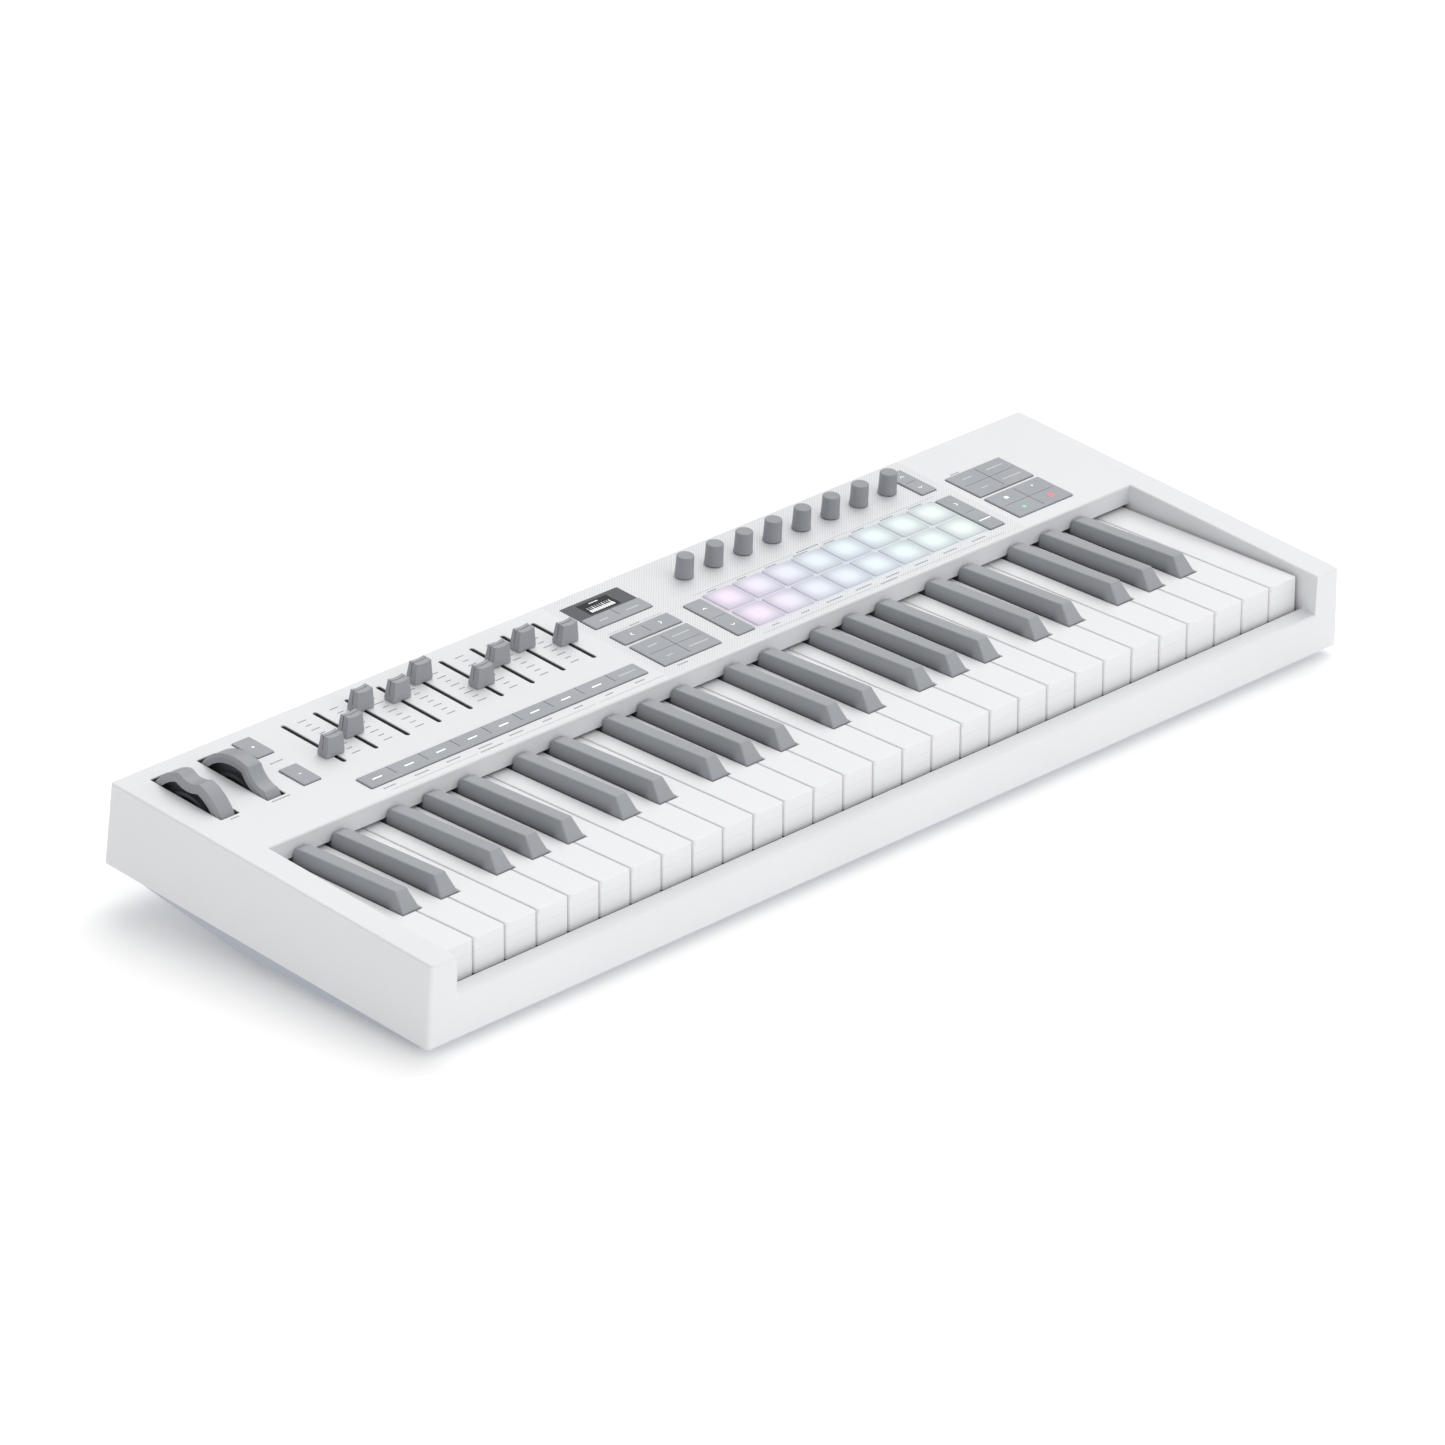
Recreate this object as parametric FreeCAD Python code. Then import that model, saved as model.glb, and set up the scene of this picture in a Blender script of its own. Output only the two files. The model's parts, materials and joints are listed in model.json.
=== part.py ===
import FreeCAD, Part
import math
import os
from FreeCAD import Placement, Rotation, Vector

os.makedirs("parts", exist_ok=True)

# Design frame: X runs left to right from the middle, Y runs back from the front edge of the deck,
# Z is square to the deck and is 0 on its top face. save() tilts everything onto the table.

# ---------------------------------------------------------------- overall sizes
octave_span = 165.0
octaves = 4
key_side_gap = 1.7
cheek_width = 18.7
deck_depth = 257.6
panel_height = 50.0
side_flare = 2.13
front_flare = 2.1
rear_flare = 1.0
corner_radius = 2.5
top_edge_radius = 1.2
wall = 2.2
deck_thickness = 2.5
tilt_angle = 4.4
foot_lift = 5.6

# ---------------------------------------------------------------- clearances
running_gap = 0.05
button_gap = 0.3
pad_gap = 0.3
lip_gap = 0.15
fit_gap = 0.05
overshoot = 1.0

# ---------------------------------------------------------------- keys
key_gap = 0.8
key_front = 13.9
key_drop = 4.5
key_slope = 4.19
key_length = 165.5
head_length = 45.2
key_skirt = 22.0
key_skirt_depth = 6.5
key_wall_height = 14.0
tail_height = 10.0
key_wall = 1.8
key_top_thickness = 2.6
key_corner_radius = 2.0
key_edge_radius = 0.8
lip_height = 3.0
lip_overhang = 0.5
hinge_reach = 161.0
hinge_drop = 5.8
hinge_rod_radius = 2.0
hinge_block = 6.0
hinge_web = 2.0
snap_share = 1.7
pusher_reach = 114.5
pusher_thickness = 3.0

black_front = 46.3
black_width = 12.6
black_top_width = 8.4
black_rise = 10.2
black_front_slope = 8.0
black_rear = 134.0
black_rear_rise = 8.2
black_rear_bevel = 1.6
black_tail_rise = 1.0
black_tail_width = 9.4
black_clearance = 0.9
black_edge_radius = 1.0
black_cavity_width = 5.4
black_offsets = {0: -2.3, 1: 2.3, 3: -3.7, 4: -0.3, 5: 3.0}

# ---------------------------------------------------------------- key well and keybed
well_rear = 149.0
fallboard_drop = 12.2
rail_depth = 10.0
rail_drop = 24.5
rail_wall_bottom = -40.0
rail_edge = 0.8
well_edge = 0.6
cheek_wall_bottom = -42.0

frame_lift = 6.0
frame_thickness = 2.0
frame_front = 12.5
frame_rear = 180.0
frame_side_gap = 1.0
felt_thickness = 2.0
felt_width = 8.0
front_felt_start = 22.0
front_felt_top = -29.2
middle_felt_start = 66.0
middle_felt_top = -30.0
contact_front = 108.0
contact_rear = 158.0
contact_rib = 2.5
contact_board_bottom = -36.0
board_thickness = 1.6
dome_sheet_front = 118.0
dome_sheet_rear = 142.0
dome_sheet_thickness = 2.0
dome_radius = 4.0
dome_top_radius = 2.4
dome_height = 2.0
dome_line = 128.5

# ---------------------------------------------------------------- tray, feet and screws
tray_front_depth = 9.0
tray_front_belly = 4.0
tray_crest = 150.0
tray_crest_belly = 10.5
tray_rear_belly = 0.5
tray_lip = 4.0
tray_edge_radius = 1.5
foot_radius = 8.0
foot_side = 325.0
foot_front = 22.0
foot_rear = 165.0
foot_tall = 30.0
foot_edge = 0.8

screw_shank = 1.25
screw_pilot = 1.3
screw_clear = 1.6
screw_head = 2.8
screw_head_height = 1.8
screw_recess_radius = 3.2
screw_recess = 3.0
screw_length = 11.0
boss_radius = 5.0
boss_height = 6.5
post_radius = 3.6
cheek_post_lines = [30.0, 90.0, 142.0]
cheek_rear_post_inset = 11.6
rear_post_inset = 6.1
rear_post_sides = [-114.0, 150.0]
frame_post_sides = [-300.0, -100.0, 100.0, 300.0]
frame_post_lines = [48.0, 166.0]
frame_screw_length = 9.0

# ---------------------------------------------------------------- control board under the deck
board_top = -9.0
board_left = -288.0
board_right = 318.0
board_front = 153.5
board_rear_inset = 7.6
pillar_radius = 2.5
pillar_gaps = [4.0, 7.0, 6.5, 6.2, 6.0]
pillar_lines = [217.0, 222.0, 238.0, 212.0, 236.0]
board_notch_gap = 0.5

# ---------------------------------------------------------------- wheels
wheel_radius = 32.5
wheel_width = 12.6
wheel_slot_gap = 0.7
wheel_slot_corner = 0.8
wheel_middle = 216.75
wheel_axle_level = -19.0
pitch_side = -336.5
mod_side = -302.5
mod_rest_angle = 33.0
wheel_slot_length = 58.5
wheel_rim = 4.8
wheel_web = 4.0
wheel_edge = 1.6
notch_depth_level = 29.0
notch_radius = 14.9
notch_edge_radius = 2.4
wheel_sector = 90.0
wheel_hub_radius = 8.0
wheel_ring_outer = 21.5
wheel_ring_inner = 19.3
wheel_ring_width = 9.6
axle_radius = 3.0
bracket_plate = 2.0
bracket_side_gap = 1.2
bracket_front = 194.0
bracket_rear = 239.5
bracket_bottom = -42.0

# ---------------------------------------------------------------- faders
fader_count = 9
first_fader_side = -246.0
stem_slot_gap = 0.8
fader_slot_front = 193.5
fader_slot_rear = 246.0
fader_rest_fronts = [201.3, 211.3, 229.1, 224.6, 232.7, 207.1, 219.4, 224.1, 214.0]
cap_width = 13.5
cap_depth = 8.5
cap_foot_height = 1.6
cap_foot_corner = 0.8
cap_foot_edge = 0.3
cap_height = 12.1
cap_top_width = 10.8
cap_top_depth = 6.3
cap_lean = 0.9
cap_dish = 0.8
cap_groove = 0.6
cap_groove_depth = 0.4
cap_groove_place = 0.6
cap_edge_radius = 0.5
cap_rise = 0.6
stem_width = 1.6
stem_length = 4.5
stem_bottom = -6.5
pot_width = 9.0
pot_overhang = 3.5
pot_top = -2.9
pot_slot_gap = 0.4
pot_slot_floor = -7.2

# ---------------------------------------------------------------- encoders
knob_count = 8
first_knob_side = 54.7
knob_line = 232.4
knob_foot_radius = 5.75
knob_foot_height = 1.0
knob_body_radius = 5.6
knob_top_radius = 5.2
knob_height = 13.3
knob_rise = 0.5
knob_foot_chamfer = 0.3
knob_edge_radius = 0.7
spindle_radius = 3.0
spindle_bottom = -6.5
bushing_wall = 1.5
bushing_top = -0.4
encoder_body = 12.0
encoder_body_top = -3.0
knob_hole_gap = 0.5

# ---------------------------------------------------------------- buttons and pads
button_rise = 1.0
button_corner = 0.9
button_edge = 0.5
slit_width = 0.5
slit_depth = 1.1
slit_end_inset = 2.2
fold_width = 0.4
fold_depth = 0.35
display_slit_inset = 4.0
flange_top = -3.0
flange_bottom = -5.0
flange_margin = 1.2
button_foot_bottom = -7.6
button_foot_inset = 2.0

octave_left = -282.5
octave_width = 13.0
octave_depth = 21.0
octave_down_front = 187.5
octave_up_front = 226.0
fader_strip_front = 161.5
fader_strip_depth = 13.0
fader_strip_left_end = 10.0
fader_strip_right_end = 10.5
fader_slit_depth = 3.5
display_left = -31.0
display_width = 45.5
display_front = 217.0
display_button_depth = 12.3
display_rear = 247.0
lens_gap = 0.3
lens_flange = 1.5
panel_side_margin = 6.0
panel_end_margin = 1.0
track_front = 193.0
track_depth = 13.0
scale_front = 161.0
scale_depth = 29.0
bank_left = 27.5
bank_width = 14.0
bank_split = 184.0
bank_shortfall = 1.5
pad_size = 22.5
pad_left = 44.0
pad_front = 161.0
pad_columns = 8
pad_row_gap = 1.5
pad_rise = 1.3
pad_corner = 1.6
pad_edge = 0.9
pad_foot_bottom = -8.2
pad_foot_inset = 5.0
pad_outer_margin = 0.8
pad_inner_margin = 0.3
scene_gap = 1.5
scene_width = 12.5
encoder_bank_front = 216.5
encoder_bank_depth = 30.5
encoder_bank_split = 232.0
transport_gap = 12.5
transport_width = 46.0
transport_front = 161.0
capture_front = 193.0
block_depth = 29.0

# ---------------------------------------------------------------- rear sockets
usb_side = -230.0
midi_side = -195.0
pedal_side = -160.0
lock_side = -262.0
socket_level = -24.0
io_board_left = -245.0
io_board_right = -145.0
io_board_front_inset = 31.6
io_board_rear_inset = 3.6
io_board_top = -35.0
pedal_bore = 3.25
pedal_nose = 5.5
pedal_body = 14.0
pedal_body_depth = 23.0
midi_nose = 7.4
midi_body = 20.0
midi_body_depth = 14.0
midi_groove_outer = 6.7
midi_groove_inner = 6.0
midi_pins = 5
midi_pin_angle = 45.0
midi_pin_radius = 0.8
midi_pin_circle = 3.3
midi_depth = 9.0
usb_width = 9.0
usb_height = 3.2
usb_depth = 10.0
usb_shell = 0.35
usb_tongue_width = 6.7
usb_tongue_height = 0.7
nose_gap = 0.2
lock_width = 7.0
lock_height = 3.2
io_post_sides = [-238.0, -178.0]
io_post_insets = [27.6, 9.6]

# ---------------------------------------------------------------- derived sizes
white_pitch = octave_span / 7.0
white_count = 7 * octaves + 1
keys_half = white_count * white_pitch / 2.0
well_half = keys_half + key_side_gap
deck_half = well_half + cheek_width
control_pitch = pad_size + pad_row_gap
rear_reach = (deck_depth + rear_flare) * math.cos(math.radians(tilt_angle))
rear_reach = rear_reach + panel_height * math.sin(math.radians(tilt_angle))
depth_middle = rear_reach / 2.0
front_edge_height = panel_height + foot_lift
table_frame = Placement(Vector(0, -depth_middle, front_edge_height), Rotation(Vector(1, 0, 0), tilt_angle))
key_frame = Placement(Vector(0, key_front, -key_drop), Rotation(Vector(1, 0, 0), -key_slope))
hinge_spot = key_frame.multVec(Vector(0, hinge_reach, -hinge_drop))
snap_opening = snap_share * hinge_rod_radius
frame_top = frame_lift - panel_height
tray_edge_bottom = -panel_height
tray_lip_top = tray_lip - panel_height
tray_front_bottom = -panel_height - tray_front_belly
tray_crest_bottom = -panel_height - tray_crest_belly
tray_rear_bottom = -panel_height - tray_rear_belly
tray_half = deck_half - side_flare * tray_lip_top / panel_height - wall - lip_gap
tray_front = -front_flare * -tray_lip_top / panel_height + wall + lip_gap
tray_rear = deck_depth + rear_flare * -tray_lip_top / panel_height - wall - lip_gap
cheek_post_side = well_half + cheek_width / 2.0
cheek_post_lines.append(deck_depth - cheek_rear_post_inset)
rear_post_line = deck_depth - rear_post_inset
board_rear = deck_depth - board_rear_inset
io_board_front = deck_depth - io_board_front_inset
io_board_rear = deck_depth - io_board_rear_inset
wheel_slot_width = wheel_width + 2.0 * wheel_slot_gap
fader_slot_width = stem_width + 2.0 * stem_slot_gap
pot_slot_width = stem_width + 2.0 * pot_slot_gap
bushing_radius = spindle_radius + bushing_wall
fader_strip_left = first_fader_side - fader_strip_left_end
last_fader_side = first_fader_side + (fader_count - 1) * control_pitch
fader_strip_width = last_fader_side + fader_strip_right_end - fader_strip_left
pads_depth = 2.0 * pad_size + pad_row_gap
pads_right = pad_left + (pad_columns - 1) * control_pitch + pad_size
bank_depth = pads_depth - bank_shortfall
scene_left = pads_right + scene_gap
transport_left = scene_left + scene_width + transport_gap
pillar_spots = [
    (fader_strip_left - pillar_gaps[0], pillar_lines[0]),
    (display_left - pillar_gaps[1], pillar_lines[1]),
    (bank_left - pillar_gaps[2], pillar_lines[2]),
    (transport_left - pillar_gaps[3], pillar_lines[3]),
    (transport_left + transport_width + pillar_gaps[4], pillar_lines[4]),
]


# ---------------------------------------------------------------- helpers
def box(left, right, front, rear, low, high):
    return Part.makeBox(right - left, rear - front, high - low, Vector(left, front, low))


def peg(x, y, low, high, radius):
    return Part.makeCylinder(radius, high - low, Vector(x, y, low), Vector(0, 0, 1))


def rod_across(left, right, y, z, radius):
    return Part.makeCylinder(radius, right - left, Vector(left, y, z), Vector(1, 0, 0))


def rod_back(x, front, rear, z, radius):
    return Part.makeCylinder(radius, rear - front, Vector(x, front, z), Vector(0, 1, 0))


def join(shapes):
    whole = shapes[0]
    if len(shapes) > 1:
        whole = whole.multiFuse(shapes[1:])
    return whole.removeSplitter()


def upright_edges(shape, low, high):
    picked = []
    for edge in shape.Edges:
        ends = [vertex.Point for vertex in edge.Vertexes]
        if len(ends) == 2:
            along = ends[1] - ends[0]
            middle = (ends[0].z + ends[1].z) / 2.0
            if abs(along.x) < 1e-6 and abs(along.y) < 1e-6 and low < middle < high:
                picked.append(edge)
    return picked


def level_edges(shape, level):
    picked = []
    for edge in shape.Edges:
        limits = edge.BoundBox
        if abs(limits.ZMin - level) < 1e-5 and abs(limits.ZMax - level) < 1e-5:
            picked.append(edge)
    return picked


def rounded_box(left, right, front, rear, low, high, corner, edge):
    solid = box(left, right, front, rear, low, high)
    solid = solid.makeFillet(corner, upright_edges(solid, low, high))
    return solid.makeFillet(edge, level_edges(solid, high))


def rounded_opening(left, right, front, rear, low, high, corner):
    solid = box(left, right, front, rear, low, high)
    return solid.makeFillet(corner, upright_edges(solid, low, high))


def slot(x, front, rear, width, low, high):
    half = width / 2.0
    straight = box(x - half, x + half, front + half, rear - half, low, high)
    ends = [peg(x, front + half, low, high, half), peg(x, rear - half, low, high, half)]
    return join([straight] + ends)


def rounded_loop(left, right, front, rear, level, radius):
    turn = radius * (1.0 - math.sqrt(0.5))
    corners = [
        (left + radius, front, left, front + radius, left + turn, front + turn),
        (left, rear - radius, left + radius, rear, left + turn, rear - turn),
        (right - radius, rear, right, rear - radius, right - turn, rear - turn),
        (right, front + radius, right - radius, front, right - turn, front + turn),
    ]
    edges = []
    for index, corner in enumerate(corners):
        start = Vector(corner[0], corner[1], level)
        end = Vector(corner[2], corner[3], level)
        between = Vector(corner[4], corner[5], level)
        edges.append(Part.Arc(start, between, end).toShape())
        following = corners[(index + 1) % 4]
        edges.append(Part.makeLine(end, Vector(following[0], following[1], level)))
    return Part.Wire(edges)


def case_loop(level, inset):
    share = -level / panel_height
    half = deck_half + side_flare * share - inset
    front = -front_flare * share + inset
    rear = deck_depth + rear_flare * share - inset
    return rounded_loop(-half, half, front, rear, level, max(corner_radius - inset, 0.4))


def case_block(top, bottom, inset):
    return Part.makeLoft([case_loop(bottom, inset), case_loop(top, inset)], True, True)


def side_profile(points, left, right):
    corners = [Vector(left, point[0], point[1]) for point in points]
    face = Part.Face(Part.makePolygon(corners + corners[:1]))
    return face.extrude(Vector(right - left, 0, 0))


def tray_floor(y):
    if y < tray_front_depth:
        share = (y - tray_front) / (tray_front_depth - tray_front)
        return tray_edge_bottom + share * (tray_front_bottom - tray_edge_bottom)
    if y < tray_crest:
        share = (y - tray_front_depth) / (tray_crest - tray_front_depth)
        return tray_front_bottom + share * (tray_crest_bottom - tray_front_bottom)
    share = (y - tray_crest) / (tray_rear - tray_crest)
    return tray_crest_bottom + share * (tray_rear_bottom - tray_crest_bottom)


def save(name, shapes):
    whole = shapes[0] if len(shapes) == 1 else Part.makeCompound(shapes)
    placed = whole.copy()
    placed.Placement = table_frame.multiply(placed.Placement)
    placed.exportStep("parts/" + name + ".step")


# ---------------------------------------------------------------- buttons
def button_block(left, width, front, depth, margins):
    right = left + width
    rear = front + depth
    cap = rounded_box(left, right, front, rear, flange_bottom, button_rise, button_corner, button_edge)
    flange = box(
        left - margins[0],
        right + margins[1],
        front - margins[2],
        rear + margins[3],
        flange_bottom,
        flange_top,
    )
    foot = box(
        left + button_foot_inset,
        right - button_foot_inset,
        front + button_foot_inset,
        rear - button_foot_inset,
        button_foot_bottom,
        flange_bottom + overshoot,
    )
    return join([cap, flange, foot])


def slit_back(x, front, rear):
    half = slit_width / 2.0
    return box(x - half, x + half, front, rear, button_rise - slit_depth, button_rise + overshoot)


def fold_across(left, right, y):
    """A shallow groove from side to side that lets the two halves bend apart."""
    half = fold_width / 2.0
    ends = (left + slit_end_inset, right - slit_end_inset)
    return box(ends[0], ends[1], y - half, y + half, button_rise - fold_depth, button_rise + overshoot)


def button_opening(left, width, front, depth):
    return rounded_opening(
        left - button_gap,
        left + width + button_gap,
        front - button_gap,
        front + depth + button_gap,
        -deck_thickness - overshoot,
        overshoot,
        button_corner,
    )


even = (flange_margin, flange_margin, flange_margin, flange_margin)
display_slit = display_left + display_width / 2.0
transport_slit = transport_left + transport_width / 2.0
openings = []

octave_down = button_block(octave_left, octave_width, octave_down_front, octave_depth, even)
save("octave_down_button", [octave_down])
openings.append(button_opening(octave_left, octave_width, octave_down_front, octave_depth))

octave_up = button_block(octave_left, octave_width, octave_up_front, octave_depth, even)
save("octave_up_button", [octave_up])
openings.append(button_opening(octave_left, octave_width, octave_up_front, octave_depth))

strip = button_block(fader_strip_left, fader_strip_width, fader_strip_front, fader_strip_depth, even)
slits = []
slit_front = fader_strip_front + fader_slit_depth
slit_rear = fader_strip_front + fader_strip_depth
for index in range(fader_count - 1):
    slit_side = first_fader_side + control_pitch * (index + 0.5)
    slits.append(slit_back(slit_side, slit_front, slit_rear))
save("fader_button_strip", [strip.cut(slits)])
openings.append(button_opening(fader_strip_left, fader_strip_width, fader_strip_front, fader_strip_depth))

open_rear = (flange_margin, flange_margin, flange_margin, 0.0)
display_buttons = button_block(display_left, display_width, display_front, display_button_depth, open_rear)
display_buttons_rear = display_front + display_button_depth
display_split = slit_back(display_slit, display_front + display_slit_inset, display_buttons_rear + overshoot)
save("display_buttons", [display_buttons.cut(display_split)])
openings.append(button_opening(display_left, display_width, display_front, display_rear - display_front))

track = button_block(display_left, display_width, track_front, track_depth, even)
track_split = slit_back(display_slit, track_front + slit_end_inset, track_front + track_depth - slit_end_inset)
save("track_buttons", [track.cut(track_split)])
openings.append(button_opening(display_left, display_width, track_front, track_depth))


def four_way_block(left, width, front, depth):
    block = button_block(left, width, front, depth, even)
    upright = slit_back(left + width / 2.0, front + slit_end_inset, front + depth - slit_end_inset)
    across = fold_across(left, left + width, front + depth / 2.0)
    return block.cut([upright, across])


save("scale_and_chord_buttons", [four_way_block(display_left, display_width, scale_front, scale_depth)])
openings.append(button_opening(display_left, display_width, scale_front, scale_depth))
save("transport_buttons", [four_way_block(transport_left, transport_width, transport_front, block_depth)])
openings.append(button_opening(transport_left, transport_width, transport_front, block_depth))
save("capture_buttons", [four_way_block(transport_left, transport_width, capture_front, block_depth)])
openings.append(button_opening(transport_left, transport_width, capture_front, block_depth))

beside_pads_left = (flange_margin, pad_outer_margin, flange_margin, flange_margin)
pad_bank = button_block(bank_left, bank_width, pad_front, bank_depth, beside_pads_left)
pad_bank_split = fold_across(bank_left, bank_left + bank_width, bank_split)
save("pad_bank_buttons", [pad_bank.cut(pad_bank_split)])
openings.append(button_opening(bank_left, bank_width, pad_front, bank_depth))

beside_pads_right = (pad_inner_margin, flange_margin, flange_margin, flange_margin)
scene = button_block(scene_left, scene_width, pad_front, bank_depth, beside_pads_right)
scene_split = fold_across(scene_left, scene_left + scene_width, bank_split)
save("scene_buttons", [scene.cut(scene_split)])
openings.append(button_opening(scene_left, scene_width, pad_front, bank_depth))

encoder_bank = button_block(scene_left, scene_width, encoder_bank_front, encoder_bank_depth, even)
encoder_split = fold_across(scene_left, scene_left + scene_width, encoder_bank_split)
save("encoder_bank_buttons", [encoder_bank.cut(encoder_split)])
openings.append(button_opening(scene_left, scene_width, encoder_bank_front, encoder_bank_depth))

# ---------------------------------------------------------------- pads
for row, row_name in enumerate(["pads_front_row", "pads_rear_row"]):
    row_front = pad_front + row * (pad_size + pad_row_gap)
    row_rear = row_front + pad_size
    mat_front = row_front - (pad_outer_margin if row == 0 else pad_inner_margin)
    mat_rear = row_rear + (pad_inner_margin if row == 0 else pad_outer_margin)
    mat_left = pad_left - pad_outer_margin
    mat_right = pads_right + pad_inner_margin
    pieces = [box(mat_left, mat_right, mat_front, mat_rear, flange_bottom, flange_top)]
    for column in range(pad_columns):
        left = pad_left + column * control_pitch
        right = left + pad_size
        pad = rounded_box(left, right, row_front, row_rear, flange_bottom, pad_rise, pad_corner, pad_edge)
        foot = box(
            left + pad_foot_inset,
            right - pad_foot_inset,
            row_front + pad_foot_inset,
            row_rear - pad_foot_inset,
            pad_foot_bottom,
            flange_bottom + overshoot,
        )
        pieces.append(pad)
        pieces.append(foot)
        openings.append(
            rounded_opening(
                left - pad_gap,
                right + pad_gap,
                row_front - pad_gap,
                row_rear + pad_gap,
                -deck_thickness - overshoot,
                overshoot,
                pad_corner + pad_gap,
            )
        )
    save(row_name, [join(pieces)])

# ---------------------------------------------------------------- display
lens_front = display_front + display_button_depth + lens_gap
lens_left = display_left
lens_right = display_left + display_width
lens = rounded_opening(lens_left, lens_right, lens_front, display_rear, -deck_thickness, 0.0, button_corner)
lens_base = box(
    lens_left - lens_flange,
    lens_right + lens_flange,
    lens_front + button_gap,
    display_rear + lens_flange,
    -deck_thickness - board_thickness / 2.0,
    -deck_thickness,
)
save("display_window", [join([lens, lens_base])])
panel_top = -deck_thickness - board_thickness / 2.0
display_panel = box(
    lens_left + panel_side_margin,
    lens_right - panel_side_margin,
    lens_front + panel_end_margin,
    display_rear - panel_end_margin,
    board_top,
    panel_top,
)
save("display_panel", [display_panel])


# ---------------------------------------------------------------- faders
def cap_body(inset):
    half = cap_width / 2.0 - cap_edge_radius / 2.0 - inset
    front = -cap_depth / 2.0 + cap_edge_radius / 2.0 + inset
    rear = cap_depth / 2.0 - cap_edge_radius / 2.0 - inset
    low = cap_rise + cap_foot_height
    high = cap_rise + cap_height - inset
    top_half = cap_top_width / 2.0 - inset
    top_front = -cap_depth / 2.0 + cap_lean + inset
    top_rear = top_front + cap_top_depth - 2.0 * inset
    lower = Part.makePolygon(
        [
            Vector(-half, front, low),
            Vector(half, front, low),
            Vector(half, rear, low),
            Vector(-half, rear, low),
            Vector(-half, front, low),
        ]
    )
    upper = Part.makePolygon(
        [
            Vector(-top_half, top_front, high),
            Vector(top_half, top_front, high),
            Vector(top_half, top_rear, high),
            Vector(-top_half, top_rear, high),
            Vector(-top_half, top_front, high),
        ]
    )
    return Part.makeLoft([lower, upper], True, True)


def fader_cap():
    dish_radius = (cap_top_width / 2.0) ** 2 / (2.0 * cap_dish) + cap_dish / 2.0
    dish_level = cap_rise + cap_height - cap_dish + dish_radius
    dish = rod_back(0, -cap_depth, cap_depth, dish_level, dish_radius)
    body = cap_body(0.0).cut(dish)
    deep_dish = rod_back(0, -cap_depth, cap_depth, dish_level, dish_radius + cap_groove_depth)
    core = cap_body(cap_groove_depth).cut(deep_dish)
    groove_line = -cap_depth / 2.0 + cap_lean + cap_top_depth * cap_groove_place
    half = cap_groove / 2.0
    slab_low = cap_rise + 2.0 * cap_foot_height
    slab = box(-cap_width, cap_width, groove_line - half, groove_line + half, slab_low, 2.0 * cap_height)
    body = body.cut(slab.cut(core))
    foot = rounded_box(
        -cap_width / 2.0,
        cap_width / 2.0,
        -cap_depth / 2.0,
        cap_depth / 2.0,
        cap_rise,
        cap_rise + cap_foot_height + fit_gap,
        cap_foot_corner,
        cap_foot_edge,
    )
    half_stem = stem_width / 2.0
    stem = box(-half_stem, half_stem, -stem_length / 2.0, stem_length / 2.0, stem_bottom, cap_rise + fit_gap)
    return join([foot, body, stem])


pots = []
for index in range(fader_count):
    side = first_fader_side + index * control_pitch
    cap = fader_cap()
    cap.translate(Vector(side, fader_rest_fronts[index] + cap_depth / 2.0, 0))
    save("fader_cap_" + str(index + 1), [cap])
    slot_floor = -deck_thickness - overshoot
    openings.append(slot(side, fader_slot_front, fader_slot_rear, fader_slot_width, slot_floor, overshoot))
    pot_front = fader_slot_front - pot_overhang
    pot_rear = fader_slot_rear + pot_overhang
    pot = box(side - pot_width / 2.0, side + pot_width / 2.0, pot_front, pot_rear, board_top, pot_top)
    track_cut = box(
        side - pot_slot_width / 2.0,
        side + pot_slot_width / 2.0,
        fader_slot_front,
        fader_slot_rear,
        pot_slot_floor,
        pot_top + overshoot,
    )
    pots.append(pot.cut(track_cut))
save("fader_pots", pots)

# ---------------------------------------------------------------- encoders
encoders = []
for index in range(knob_count):
    side = first_knob_side + index * control_pitch
    profile = [
        (0.0, knob_rise),
        (knob_foot_radius - knob_foot_chamfer, knob_rise),
        (knob_foot_radius, knob_rise + knob_foot_chamfer),
        (knob_foot_radius, knob_rise + knob_foot_height),
        (knob_body_radius, knob_rise + knob_foot_height + knob_foot_chamfer),
        (knob_top_radius, knob_rise + knob_height),
        (0.0, knob_rise + knob_height),
        (0.0, knob_rise),
    ]
    outline = Part.makePolygon([Vector(point[0], 0, point[1]) for point in profile])
    knob = Part.Face(outline).revolve(Vector(0, 0, 0), Vector(0, 0, 1), 360)
    knob = knob.makeFillet(knob_edge_radius, level_edges(knob, knob_rise + knob_height))
    knob = join([knob, peg(0, 0, spindle_bottom, knob_rise + fit_gap, spindle_radius)])
    knob.translate(Vector(side, knob_line, 0))
    save("encoder_knob_" + str(index + 1), [knob])
    hole_radius = bushing_radius + knob_hole_gap
    openings.append(peg(side, knob_line, -deck_thickness - overshoot, overshoot, hole_radius))
    half = encoder_body / 2.0
    housing = box(side - half, side + half, knob_line - half, knob_line + half, board_top, encoder_body_top)
    bushing = peg(side, knob_line, encoder_body_top - fit_gap, bushing_top, bushing_radius)
    bore_bottom = spindle_bottom - button_gap
    bore = peg(side, knob_line, bore_bottom, bushing_top + overshoot, spindle_radius + running_gap)
    encoders.append(join([housing, bushing]).cut(bore))
save("encoder_bodies", encoders)

# ---------------------------------------------------------------- wheels
wheel_slot_front = wheel_middle - wheel_slot_length / 2.0
wheel_slot_rear = wheel_middle + wheel_slot_length / 2.0


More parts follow.
